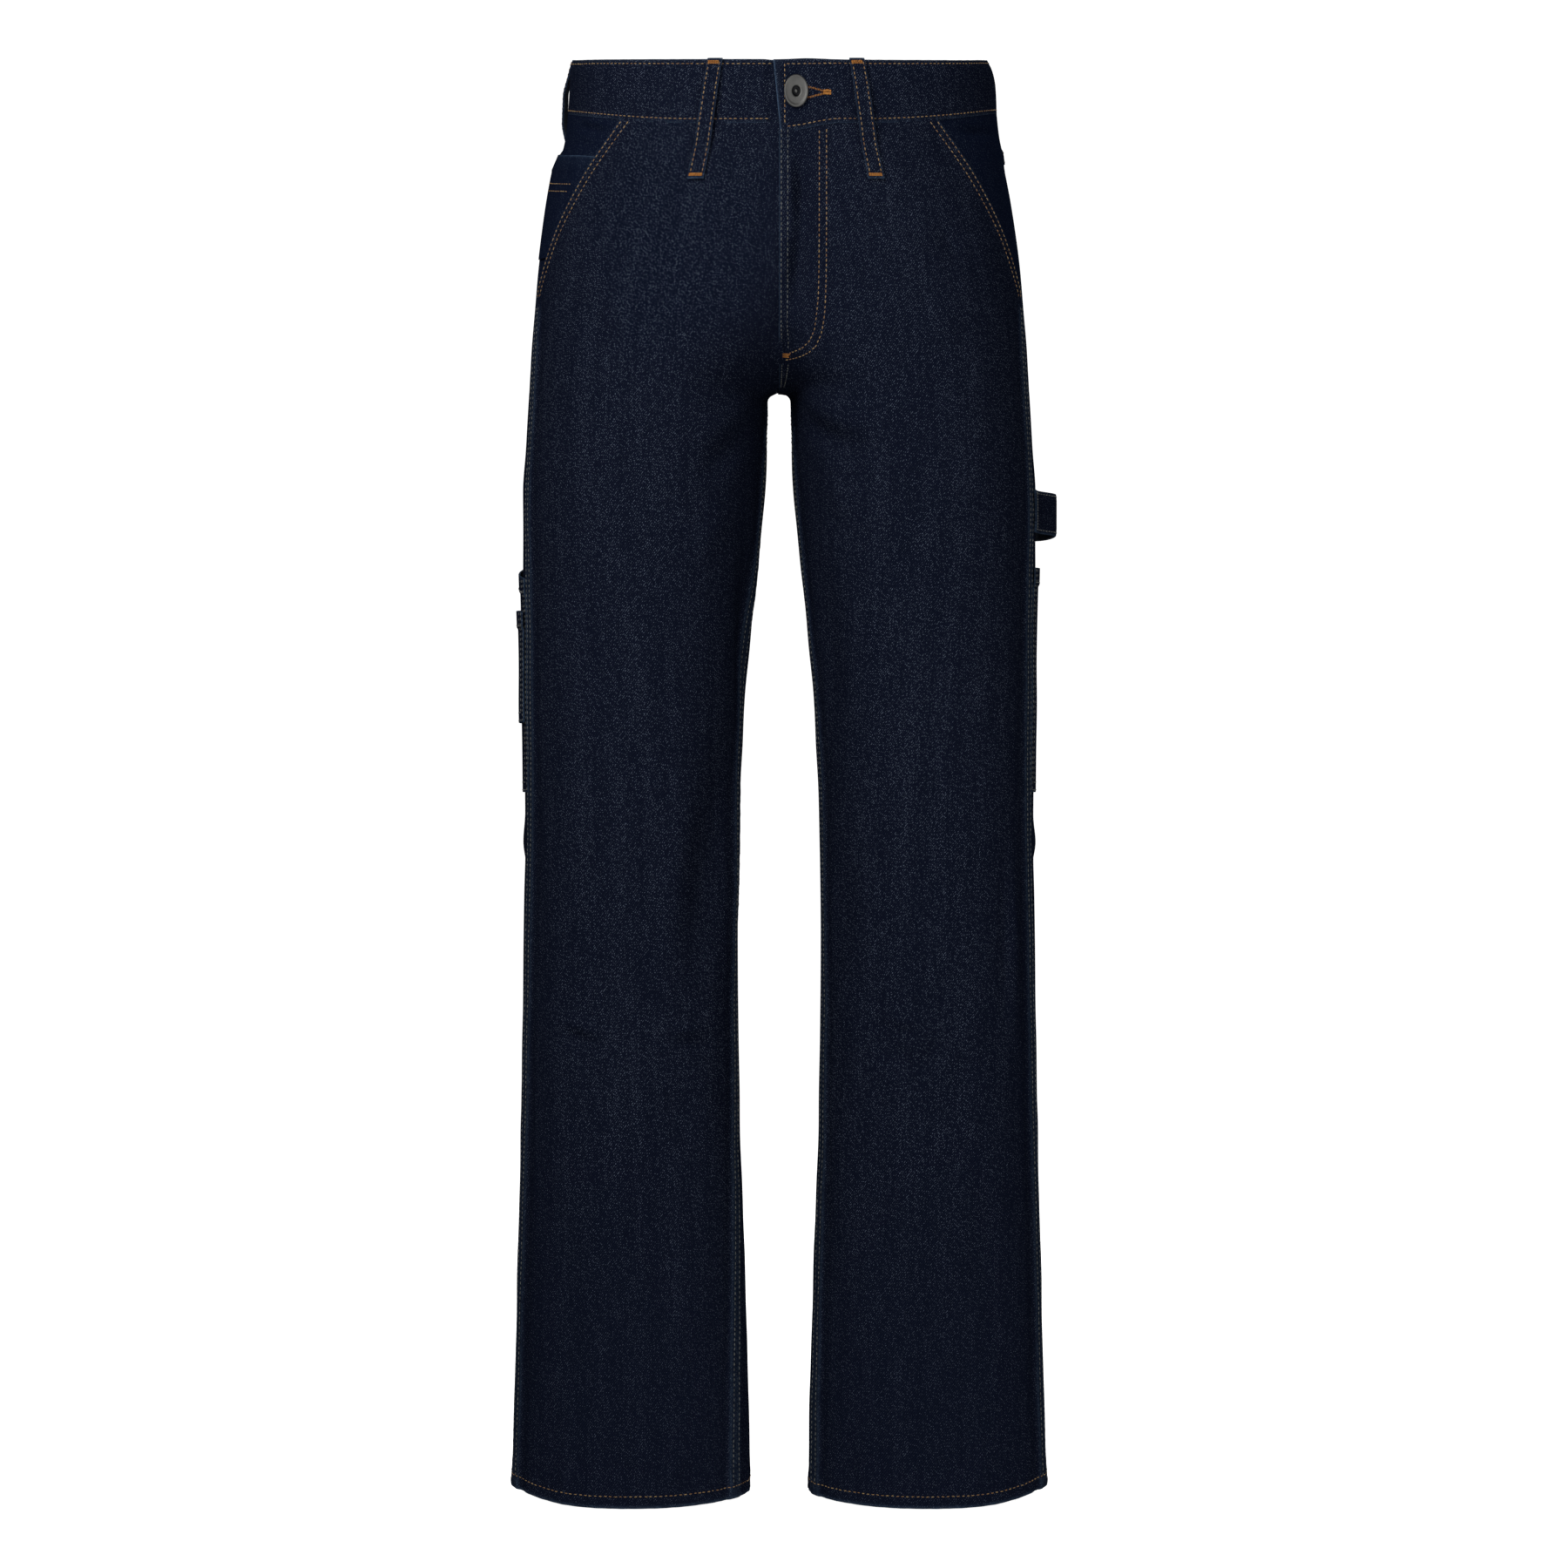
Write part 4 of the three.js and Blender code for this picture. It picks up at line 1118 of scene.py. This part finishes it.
def back_pocket_place(t, v):
    """Way and height of a point of the five-sided pocket."""
    middle = 1 - np.abs(2 * t - 1)
    height = lerp(-142, -286, v) - 17 * v * middle - 10 * (1 - t) * (1 - v)
    width = lerp(146, 122, v)
    way = -back_arc(np.array(-142.0)) + 30 + (146 - width) / 2 + width * (1 - t) + 6 * v
    return way, height


def back_pocket_edge(t, v):
    """Distance to the pocket's nearest edge."""
    return np.minimum(from_ends(t, BACK_POCKET_WIDTH), from_ends(v, BACK_POCKET_LENGTH))


def back_pocket_lift(t, v, hem, puff=1.0):
    """The pocket lies flat at its edges and swells between."""
    swell = 1.4 * ease(2, 30, back_pocket_edge(t, v)) * puff
    return BACK_POCKET_REST + POCKET_CLOTH + hem + swell


def puff_at(t, v):
    return 0.7 + 0.3 * np.sin(5 * t + 3 * v)


def back_pocket(side):
    def lay(t, v):
        way, height = back_pocket_place(t, v)
        hem = 0.4 * near(v * BACK_POCKET_LENGTH, 18)
        lift = back_pocket_lift(t, v, hem, puff_at(t, v))
        return side, way, height, lift, rub(back_pocket_edge(t, v), 0.4, 0.8)

    columns = steps(0, BACK_POCKET_WIDTH, POCKET_EDGE, POCKET_EDGE, 40)
    rows = steps(0, BACK_POCKET_LENGTH, POCKET_EDGE + [17, 18, 19], POCKET_EDGE, 44)
    return cloth(f"cloth_back_pocket_{SIDES[side]}", columns, rows, lay, FACE,
                 thickness=POCKET_CLOTH)


for side, word in SIDES.items():
    stand_for(back_pocket(side), f"back_pocket_{word}")
print("back pocket:", BACK_POCKET_WIDTH, "by", BACK_POCKET_LENGTH, "mm")

# %% [markdown]
# ## Tool pockets
# The pockets on the thighs hold a folding rule or a pencil. They sit on the outer seam,
# half on the front and half on the back, and their mouths slant down towards the front.
# The right leg has two, the small one sewn on the large one, one ply further out.

# %% Tool pockets
POCKET_ROWS = [
    # name, side, plies below, front and rear edge, top at each, foot
    ("tool_pocket_left", LEFT, 0, 39, -98, -377, -372, -541),
    ("tool_pocket_right", RIGHT, 0, 41, -92, -385, -364, -541),
    ("tool_pocket_right_small", RIGHT, 1, 39, -34, -409, -405, -490),
]
MOUTH_HEM = 13
PLY = 2.1


def tool_pocket_lift(ply, down, edge):
    """The mouth hem is a ply thicker, and the cloth below it hangs a little slack."""
    hem = 0.9 * near(down, MOUTH_HEM, 0.8)
    slack = 0.8 * np.exp(-down / 40) * ease(0, 25, edge)
    return 0.4 + ply * PLY + POCKET_CLOTH + hem + slack


def tool_pocket(name, side, ply, fore, aft, fore_top, aft_top, foot):
    width, length = fore - aft, fore_top - foot

    def lay(t, v):
        top = lerp(fore_top, aft_top, t)
        height, way = lerp(top, foot, v), lerp(fore, aft, t)
        edge = from_ends(t, width)
        lift = tool_pocket_lift(ply, top - height, edge)
        return side, way, height, lift, rub(np.minimum(edge, from_ends(v, length)), 0.4, 0.8)

    columns = steps(0, width, POCKET_EDGE, POCKET_EDGE, 40)
    rows = steps(0, length, POCKET_EDGE + [12.2, 13, 13.8], POCKET_EDGE, 48)
    return cloth("cloth_" + name, columns, rows, lay, FACE, thickness=POCKET_CLOTH)


for row in POCKET_ROWS:
    name, side, ply, fore, aft, fore_top, aft_top, foot = row
    stand_for(tool_pocket(*row), name)

# %% [markdown]
# ## The hammer loop
# A carpenter hangs a hammer from a wide strip on the left thigh. It is tacked at both
# ends and longer than the leg beneath it, so it stands well off the side and shows in
# the outline. Its lift rises and falls smoothly from one tack to the other.

# %% Hammer loop
HAMMER_FORE, HAMMER_AFT, HAMMER_TOP, HAMMER_FOOT = 39, -84, -320, -351
HAMMER_RISE, HAMMER_CLOTH, HAMMER_LENGTH, HAMMER_WIDTH = 12.8, 2.0, 116, 31
HAMMER_EDGE = [0, 0.5, 1.2]


def hammer_lift(t):
    """Flat at both tacks, and well off the leg between them."""
    rise = ease(0.05, 0.3, t) * (1 - ease(0.7, 0.95, t))
    return 0.8 + HAMMER_CLOTH + HAMMER_RISE * rise


def hammer_sag(t):
    """The loop hangs a little at its middle."""
    return 1.5 * np.sin(math.pi * t)


def hammer_loop():
    def lay(t, v):
        height = lerp(HAMMER_TOP, HAMMER_FOOT, v) - hammer_sag(t)
        way = lerp(HAMMER_FORE, HAMMER_AFT, t)
        edge = from_ends(v, HAMMER_WIDTH)
        worn = rub(edge, 0.4, 0.7) + rub(from_ends(t, HAMMER_LENGTH), 0.4, 0.8)
        return LEFT, way, height, hammer_lift(t) + 0.4 * ease(0, 5, edge), worn

    columns = steps(0, HAMMER_LENGTH, HAMMER_EDGE, HAMMER_EDGE, 70)
    rows = steps(0, HAMMER_WIDTH, HAMMER_EDGE + [3], HAMMER_EDGE + [3], 12)
    return cloth("cloth_hammer_loop", columns, rows, lay, FACE, thickness=HAMMER_CLOTH,
                 round_edge=0.6)


stand_for(hammer_loop(), "hammer_loop")
print("patches and loop:", len(POCKET_ROWS) + 3)

# %% [markdown]
# ## Button
# The button is a flat oval cap with a rolled rim and a well, whose floor and walls get a
# near-black metal as painted shade, and the head of its rivet shines at the bottom of the
# well. A lathe shape is a spun profile: a few points drawn from the middle outwards,
# turned once round.

# %% Button
BUTTON_PLACE, BUTTON_HEIGHT, BUTTON_LIFT = 12, -24, 1.2
BUTTON_STRETCH = 23.8 / 17.4
BUTTON_PROFILE = [
    (0, 0), (3.1, 0), (3.2, 1.3), (7.6, 1.4), (8.4, 1.7), (8.7, 2.3), (8.65, 2.9), (8.4, 3.35),
    (8.0, 3.5), (7.5, 3.4), (7.1, 3.15), (6.4, 3.05), (5.0, 3.0), (3.9, 3.02), (3.3, 2.95),
    (3.0, 2.7), (2.8, 2.0), (2.6, 1.5), (1.5, 1.4), (1.2, 1.6), (1.05, 2.1), (0.65, 2.5),
    (0, 2.6),
]
WELL, WELL_FLOOR = (1.2, 2.85), 1.35


def spun(profile, count, join):
    """A lathe shape: points drawn outwards from the middle, turned once round."""
    work = bmesh.new()
    path = [work.verts.new((radius, 0, rise)) for radius, rise in profile]
    edges = [work.edges.new(pair) for pair in zip(path, path[1:])]
    bmesh.ops.spin(work, geom=path + edges, cent=(0, 0, 0), axis=(0, 0, 1), dvec=(0, 0, 0),
                   angle=2 * math.pi, steps=count, use_merge=True)
    bmesh.ops.remove_doubles(work, verts=work.verts[:], dist=join)
    bmesh.ops.recalc_face_normals(work, faces=work.faces[:])
    return work


def smooth_mesh(name, work):
    """The finished mesh of a shape under work, shaded smooth."""
    mesh = bpy.data.meshes.new(name)
    work.to_mesh(mesh)
    work.free()
    mesh.shade_smooth()
    return mesh


# The second metal is near-black: painted shade for the button's well
METALS = {
    "button_metal": ((0.05, 0.0495, 0.048, 1), (0.082, 0.081, 0.078, 1)),
    "button_well_painted_shade": ((0.004, 0.004, 0.005, 1), (0.012, 0.012, 0.013, 1)),
}


def metal(name, dark, pale):
    """Dull, slightly grained metal."""
    finish = Finish(name)
    place = finish.node("ShaderNodeTexCoord").outputs["Object"]
    grain = finish.noise(place, 900.0, 3.0, 0.6)
    dull = finish.noise(place, 220.0, 3.0, 0.6)
    colour = finish.mix(dull, dark, pale)
    finish.fill(finish.shader, {
        "Base Color": colour, "Metallic": 1.0, "Roughness": 0.34 + dull * 0.2,
        "Normal": finish.bump(grain, 0.25, 0.0002)})
    return finish.material


def make_button():
    work = spun(BUTTON_PROFILE, 56, 0.01)
    # Faces on the well's floor and walls take the near-black metal, as painted shade
    for face in work.faces:
        middle = face.calc_center_median()
        if WELL[0] < middle.xy.length < WELL[1] and middle.z > WELL_FLOOR:
            face.material_index = 1
    height = np.array([float(BUTTON_HEIGHT)])
    side, way = band_place(np.array([float(BUTTON_PLACE)]), height)
    point, normal = cloth_point(side, way, height, np.array([BUTTON_LIFT]))
    out = Vector(normal[0])
    up = (Vector((0, 0, 1)) - out * out.z).normalized()
    side_on = up.cross(out)
    turn = Matrix((side_on * MM, up * BUTTON_STRETCH * MM, out * MM)).transposed().to_4x4()
    bmesh.ops.transform(work, matrix=Matrix.Translation(Vector(point[0])) @ turn,
                        verts=work.verts[:])
    bmesh.ops.recalc_face_normals(work, faces=work.faces[:])
    mesh = smooth_mesh("tack_button", work)
    for material, colours in METALS.items():
        mesh.materials.append(metal(material, *colours))
    piece = linked("tack_button", mesh)
    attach(piece, "root")
    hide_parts("button")
    return piece


print("button faces:", len(make_button().data.polygons))

# %% [markdown]
# ## Stitches
# Topstitching is what makes denim look sewn, and there are thousands of stitches. Each is
# a small spindle that dips into the cloth at both ends. One spindle is made by an
# operator, and arrays copy it along every seam, so a whole colour of thread is one mesh.

# %% Helpers for sewing
PITCH, STITCH_LENGTH, STITCH_WIDTH, STITCH_HEIGHT = 3.7, 2.75, 0.75, 0.55
ON_CLOTH, UNSTEADY, UNEVEN_LENGTH = 0.12, 0.05, 0.04
chance = np.random.default_rng(7)
sewn = {"gold": [], "tonal": [], "bright": []}


def sew(thread, side, way, height, lift, pitch=PITCH, length=STITCH_LENGTH,
        width=STITCH_WIDTH, start=0.5):
    """Places stitches along a line of the cloth."""
    way, height, lift = (np.asarray(a, float) for a in np.broadcast_arrays(way, height, lift))
    points, normals = cloth_point(side, way, height, lift + ON_CLOTH)
    points = points / MM
    run = np.concatenate([[0], np.cumsum(np.linalg.norm(np.diff(points, axis=0), axis=1))])
    at = np.arange(start * pitch, run[-1] - 0.3 * pitch, pitch)
    at = at + chance.normal(0, UNSTEADY * pitch, len(at))

    def along(values, where):
        return np.stack([np.interp(where, run, values[:, k]) for k in range(3)], axis=1)

    centre, out = along(points, at), along(normals, at)
    ahead = along(points, at + 0.5 * length) - along(points, at - 0.5 * length)
    ahead /= np.linalg.norm(ahead, axis=1, keepdims=True)
    out -= ahead * (out * ahead).sum(axis=1, keepdims=True)
    out /= np.linalg.norm(out, axis=1, keepdims=True)
    lean = chance.normal(0, UNSTEADY, (len(at), 1))
    beside = np.cross(out, ahead)
    ahead = ahead + beside * lean
    size = length * (1 + chance.normal(0, UNEVEN_LENGTH, len(at)))
    sewn[thread].append((centre, ahead, beside, out, size, np.full(len(at), width)))


# Evenly spaced numbers from one value to another
line = np.linspace


def path_through(corners, spacing=1.0):
    """Way and height along straight runs between corners."""
    corners = np.array(corners, float)
    run = np.concatenate([[0], np.cumsum(np.linalg.norm(np.diff(corners, axis=0), axis=1))])
    at = np.arange(0, run[-1], spacing)
    return np.interp(at, run, corners[:, 0]), np.interp(at, run, corners[:, 1])


def sew_front(thread, side, way, height, raised=0.0, **changes):
    """Stitches on the face of a front panel."""
    sew(thread, side, way, height, front_surface(side, way, height) + raised, **changes)


print("stitch:", STITCH_LENGTH, "mm every", PITCH, "mm")

# %% [markdown]
# ## Seams of the fronts
# The long seams are sewn with two rows of dark thread that hardly shows, and the slanted
# pockets and the J of the fly with two rows of gold. Every row is a line of constant
# distance from an edge that is already known, so it follows the panel wherever it goes.

# %% Seams of the fronts
FELL_ROWS, SLANT_EDGE_ROWS = (2.0, 8.6), (1.8, 7.8)
FLY_EDGE_ROWS, FORK_ROWS = (1.6, 6.2), (2.0, 7.5)
for side in SIDES:
    for inset in FELL_ROWS:
        height = line(-186, -1046, 900)
        sew_front("tonal", side, front_edge(height) + inset, height)
        height = line(-262, -1046, 850)
        sew_front("tonal", side, front_inner(height) - inset, height)
    for inset in SLANT_EDGE_ROWS:
        height = line(-46, -179, 160)
        sew_front("gold", side, front_edge(height) + inset, height)

for inset in FLY_EDGE_ROWS:
    height = line(-52, -226, 200)
    sew_front("tonal", LEFT, front_arc(height) - inset, height)
# Corners of the two rows of the J: distance from the centre, height
J_INNER = [(28.7, -53), (28.4, -186), (27.3, -211), (24.8, -218.5), (20.0, -222.8), (8, -226.5),
           (0.8, -228.5)]
J_OUTER = [(33.8, -52), (33.6, -200), (33.0, -214), (30.5, -222.6), (26, -226.6), (19.4, -228.6),
           (2.0, -231.2)]
for corners in (J_INNER, J_OUTER):
    from_centre, height = path_through(corners)
    sew_front("gold", LEFT, front_arc(height) - from_centre, height)
for inset in FORK_ROWS:
    height = line(-233, -244, 30)
    sew_front("tonal", LEFT, front_arc(height) - inset, height)
for offset in (0.0, 0.9, 1.8):
    height = np.full(12, -227.2 - offset)
    way = front_arc(height) - line(0.5, 8.0, 12)
    sew_front("bright", LEFT, way, height, 0.2, pitch=1.4, length=2.4, width=0.8)
print("rows sewn:", {name: len(runs) for name, runs in sewn.items()})

# %% [markdown]
# ## Hems, backs and yokes
# One row of gold holds each hem, sewn right round the leg across both panels. Two rows
# follow each yoke, and two run down the seam of the seat, on the left side that laps.

# %% Hems, backs and yokes
HEM_STITCH, YOKE_ROWS = 10.3, (2.0, 8.4)
for side in SIDES:
    height = np.full(700, HEM_HEIGHT + HEM_STITCH)
    whole = float(front_arc(HEM_HEIGHT + 10) + back_arc(HEM_HEIGHT + 10))
    way = line(0, whole, 700)
    inner = front_inner(height)
    ahead = way < inner
    way = np.where(ahead, way, way - whole)
    front_lift = front_surface(side, way, height)
    back_lift = back_surface(side, way, height)
    use_front = (way > outseam_at(height)) & ahead
    lift = np.where(use_front, front_lift, back_lift)
    climb = hem_raise(way, height) + bell(way, 30) - 1.2
    sew("gold", side, way, height + climb, lift)
    place = line(10, -300, 320)
    for inset in YOKE_ROWS:
        level = yoke_line(place) + inset
        keep = place > -back_arc(level) + 3
        sew("gold", side, place[keep], level[keep], 0.8)
    if side == LEFT:
        for inset in YOKE_ROWS:
            level = line(-50, -242, 240)
            way = -back_arc(level) + inset
            seam = np.where(level > yoke_line(way), 0.5, back_surface(LEFT, way, level))
            sew("gold", side, way, level, seam + 0.1)
print("rows sewn:", {name: len(runs) for name, runs in sewn.items()})

# %% [markdown]
# ## Waistband, loops and buttonhole
# Gold runs along both edges of the band and down its end. Where a seam is pulled on, the
# sewer goes back and forth, and the thread looks brighter: at both ends of every loop and
# round the buttonhole, whose stitches stand across the slit and close round its far end.

# %% Waistband, loops and buttonhole


def sew_band(thread, place, height, lift, **changes):
    """Stitches on the waistband."""
    side, way = band_place(place, height)
    sew(thread, side, way, height, lift, **changes)


TAB_INSET, LOOP_INSET = 4.0, 3.9
run = np.concatenate([line(5, WAIST_HALF, 700), line(-WAIST_HALF, -4, 700)])
for share in ROW_SHARES:
    bottom = np.where(run < 0, band_bottom(run), tab_bottom(run))
    level = bottom * share
    lift = band_surface(run, level)
    half = len(run) // 2
    for part in (slice(0, half), slice(half, None)):
        sew_band("gold", run[part], level[part], lift[part])
level = line(-3, -51, 40)
place = np.full(40, TAB_INSET)
sew_band("gold", place, level, band_surface(place, level))

for name, top, bottom, stand_off in LOOP_ROWS:
    back = name == "back"
    for off in (-LOOP_INSET, LOOP_INSET):
        v = line(0.03, 0.97, 90)
        side, way, level = loop_place(top, bottom, back, v, np.full(90, off))
        sew("gold", side, way, level, loop_lift(v, 0.5 + off / LOOP_WIDTH, stand_off, top))
    for v_bar in (0.03, 0.955):
        for step in (0.0, 0.009, 0.018):
            v = np.full(14, v_bar + step)
            off = line(-4.6, 4.6, 14)
            side, way, level = loop_place(top, bottom, back, v, off)
            lift = loop_lift(v, 0.5, stand_off, top) + 0.2
            sew("bright", side, way, level, lift, pitch=1.6, length=2.4, width=0.8)

SLIT_HEIGHT = BUTTON_HEIGHT - 0.6
for sign in (1, -1):
    for at in line(18.5, 31.5, 15):
        inner_end = np.interp(at, [18, 22, 30, 32], [2.9, 2.9, 0.6, 0.4])
        level = SLIT_HEIGHT + sign * (inner_end + line(-0.1, 1.7, 8))
        sew_band("bright", np.full(8, at), level, band_surface(np.full(8, at), level) + 0.1,
                 pitch=1.8, length=1.9, width=0.55, start=0.45)
for at in line(31.5, 36.5, 9):
    level = SLIT_HEIGHT + line(-1.9, 1.9, 10)
    sew_band("bright", np.full(10, at), level, band_surface(np.full(10, at), level) + 0.25,
             pitch=1.9, length=2.3, width=0.8)
print("rows sewn:", {name: len(runs) for name, runs in sewn.items()})

# %% [markdown]
# ## Pockets and hammer loop
# Each patch has two rows round its sides and foot, from one corner of the mouth to the
# other, and rows across its mouth hem. The rows take the lift of the pocket that they
# are sewn to. Gold is kept for the seat and the rule pocket, the thighs have dark thread.

# %% Pockets and hammer loop
RULE_ROWS, PATCH_ROWS = (2.0, 7.6), (1.8, 7.4)
BACK_HEM_ROWS, HAMMER_ROWS = (10.0, 16.0), (2.2, 28.6)
for inset in RULE_ROWS:
    share = line(0.05, 0.8, 60)
    level = RULE_TOP - 3 * share - 20 - inset
    low, high = outseam_at(level), front_edge(level)
    way = lerp(low + 3, high + 4, share)
    sew("gold", RIGHT, way, level, facing_lift((way - low) / (high - low)) + 1.7)

for side in SIDES:
    for inset in PATCH_ROWS:
        left, right = inset, BACK_POCKET_WIDTH * (1 - inset / BACK_POCKET_WIDTH)
        foot = BACK_POCKET_LENGTH * (1 - inset / BACK_POCKET_LENGTH)
        t, v = path_through([(left, 0), (left, foot), (BACK_POCKET_WIDTH / 2, foot),
                             (right, foot), (right, 0)])
        t, v = t / BACK_POCKET_WIDTH, v / BACK_POCKET_LENGTH
        hem = 0.4 * near(v * BACK_POCKET_LENGTH, 18)
        sew("gold", side, *back_pocket_place(t, v), back_pocket_lift(t, v, hem))
    for down in BACK_HEM_ROWS:
        t, v = line(0.02, 0.98, 150), np.full(150, down / BACK_POCKET_LENGTH)
        lift = back_pocket_lift(t, v, 0.4, puff_at(t, v))
        sew("gold", side, *back_pocket_place(t, v), lift)

for name, side, ply, fore, aft, fore_top, aft_top, foot in POCKET_ROWS:
    for inset in PATCH_ROWS:
        corners = [(fore - inset, fore_top), (fore - inset, foot + inset),
                   (aft + inset, foot + inset), (aft + inset, aft_top)]
        way, level = path_through(corners)
        top = lerp(fore_top, aft_top, (way - fore) / (aft - fore))
        edge = np.minimum(fore - way, way - aft)
        lift = tool_pocket_lift(ply, np.maximum(0, top - level), edge)
        sew("tonal", side, way, level, lift)
    down = MOUTH_HEM - 2.2
    way = line(fore - 1, aft + 1, 150)
    level = lerp(fore_top, aft_top, (way - fore) / (aft - fore)) - down
    edge = np.minimum(fore - way, way - aft)
    sew("tonal", side, way, level, tool_pocket_lift(ply, np.full(150, down), edge))

for inset in HAMMER_ROWS:
    t = line(0.01, 0.99, 140)
    way, level = lerp(HAMMER_FORE, HAMMER_AFT, t), HAMMER_TOP - inset - hammer_sag(t)
    sew("tonal", LEFT, way, level, hammer_lift(t) + 0.2)
for t_bar in (0.03, 0.95):
    for step in (0.0, 0.012):
        t, level = np.full(40, t_bar + step), HAMMER_TOP - line(2, 29, 40)
        sew("tonal", LEFT, lerp(HAMMER_FORE, HAMMER_AFT, t), level, hammer_lift(t) + 0.3,
            pitch=2.0, length=2.2, width=0.7)
print("stitches:", {name: sum(len(r[0]) for r in runs) for name, runs in sewn.items()})

# %% [markdown]
# ## Thread
# The spindle is an icosphere stretched along the seam. Its points are bent so that both
# ends sink, then moved to every stitch at once by matrix maths. Thread is a little
# glossy and twisted, and worn thread is paler on top, so each stitch has its own shade.

# %% Thread meshes
STITCH_DIP = 0.9


def thread_finish(name, colour, shade):
    """Twisted thread, each stitch with its own shade."""
    finish = Finish(name)
    place = finish.node("ShaderNodeTexCoord").outputs["Object"]
    twist = finish.noise(place, 2600.0, 1.0)
    own = Term(finish, finish.node("ShaderNodeAttribute",
                                   {"attribute_name": "shade"}).outputs["Fac"])
    mixed = finish.mix((own * 0.7 + twist * 0.5).clamped(), shade, colour)
    finish.fill(finish.shader, {"Base Color": mixed, "Roughness": 0.55 + twist * 0.2,
                                "Specular IOR Level": 0.1})
    return finish.material


def thread_mesh(name, runs, material):
    """One mesh of all the stitches of a colour."""
    work = bmesh.new()
    bmesh.ops.create_icosphere(work, subdivisions=1, radius=0.5)
    corners = np.array([vert.co[:] for vert in work.verts])
    faces = np.array([[vert.index for vert in face.verts] for face in work.faces])
    work.free()
    centre, ahead, beside, out, size, width = (np.concatenate(part) for part in zip(*runs))
    dip = -STITCH_DIP * corners[:, 0] ** 2
    points = (centre[:, None] + ahead[:, None] * (corners[:, 0, None] * size[:, None, None])
              + beside[:, None] * (corners[:, 1, None] * width[:, None, None])
              + out[:, None] * ((corners[:, 2] * STITCH_HEIGHT + dip)[None, :, None]))
    count = len(centre)
    mesh = bpy.data.meshes.new(name)
    index = (faces[None] + np.arange(count)[:, None, None] * len(corners)).reshape(-1, 3)
    mesh.vertices.add(count * len(corners))
    mesh.vertices.foreach_set("co", (points * MM).ravel())
    mesh.loops.add(len(index) * 3)
    mesh.loops.foreach_set("vertex_index", index.ravel())
    mesh.polygons.add(len(index))
    mesh.polygons.foreach_set("loop_start", np.arange(len(index)) * 3)
    mesh.update()
    mesh.validate()
    shade = np.repeat(chance.random(count), len(corners))
    mesh.attributes.new("shade", "FLOAT", "POINT").data.foreach_set("value", shade)
    mesh.materials.append(material)
    mesh.shade_smooth()
    piece = linked(name, mesh)
    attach(piece, "root")
    return piece


THREADS = {
    "gold": ((0.54, 0.37, 0.17, 1), (0.26, 0.11, 0.05, 1)),
    "bright": ((0.66, 0.28, 0.065, 1), (0.38, 0.14, 0.035, 1)),
    "tonal": ((0.25, 0.26, 0.24, 1), (0.06, 0.065, 0.07, 1)),
}
for name, (light, deep) in THREADS.items():
    finish = thread_finish(f"thread_{name}", light, deep)
    thread = thread_mesh(f"stitches_{name}", sewn[name], finish)
    print(thread.name, len(thread.data.polygons), "faces")

# %% [markdown]
# ## Floor and light
# A plain pale sheet runs under the jeans and curves up all round them, so there is no
# horizon. It glows an even white, but lights nothing and throws no shadow, so it stays
# as plain as the photograph's ground. The key light stands at the upper left, a weaker
# fill at the right, a bounce lights the fork from below the floor, and a lamp behind
# keeps the back readable.

# %% Stage
FLOOR_DROP, FLOOR_RADIUS, FLOOR_CURVE, WALL_TOP = 6.0, 4.4, 1.6, 4.5
WORLD_LIGHT = 0.125
LIGHTS = [
    # name, place, aim, size, power
    ("key", (-0.6, -1.2, 0.55), (0, 0, -0.15), (0.8, 0.8), 11.4),
    ("fill", (1.2, -2.0, -0.4), (0, 0, -0.4), (1.2, 1.2), 6.5),
    ("bounce", (0.1, -1.3, -2.3), (0, 0, -0.3), (1.5, 1.5), 8),
    ("rear", (0.5, 1.9, 0.7), (0, 0, -0.4), (2.0, 1.6), 30),
]


def make_sweep():
    """A round floor whose rim curves up into a wall, turned once about the jeans."""
    low = (HEM_HEIGHT - FLOOR_DROP) * MM
    curve = [(FLOOR_RADIUS + FLOOR_CURVE * math.sin(a), low + FLOOR_CURVE * (1 - math.cos(a)))
             for a in np.linspace(0, math.pi / 2, 14)]
    wall = (FLOOR_RADIUS + FLOOR_CURVE, WALL_TOP)
    work = spun([(0, low), *curve, wall], 96, 0.0001)
    bmesh.ops.reverse_faces(work, faces=work.faces[:])
    mesh = smooth_mesh("floor", work)
    finish = Finish("floor_paper")
    place = finish.node("ShaderNodeTexCoord").outputs["Object"]
    grain = finish.noise(place, 40.0, 2.0)
    finish.fill(finish.shader, {
        "Base Color": finish.mix(grain, (0.86, 0.86, 0.86, 1), (0.88, 0.88, 0.88, 1)),
        "Roughness": 0.9, "Specular IOR Level": 0.0,
        "Emission Color": (1, 1, 1, 1), "Emission Strength": 1.0})
    mesh.materials.append(finish.material)
    floor = linked("floor", mesh)
    floor.visible_diffuse = floor.visible_shadow = False


def area_light(name, place, aim, size, power):
    data = bpy.data.lights.new(name, "AREA")
    data.shape, data.size, data.size_y, data.energy = "RECTANGLE", size[0], size[1], power
    light = linked(name, data)
    light.location = place
    light.rotation_euler = (Vector(aim) - Vector(place)).to_track_quat("-Z", "Y").to_euler()


make_sweep()
for row in LIGHTS:
    area_light(*row)
world = bpy.data.worlds.new("studio")
world.use_nodes = True
background = world.node_tree.nodes["Background"]
background.inputs["Color"].default_value = (1, 1, 1, 1)
background.inputs["Strength"].default_value = WORLD_LIGHT
bpy.context.scene.world = world
bpy.context.scene.view_settings.view_transform = "Standard"
print("lights:", len(LIGHTS))

# %% [markdown]
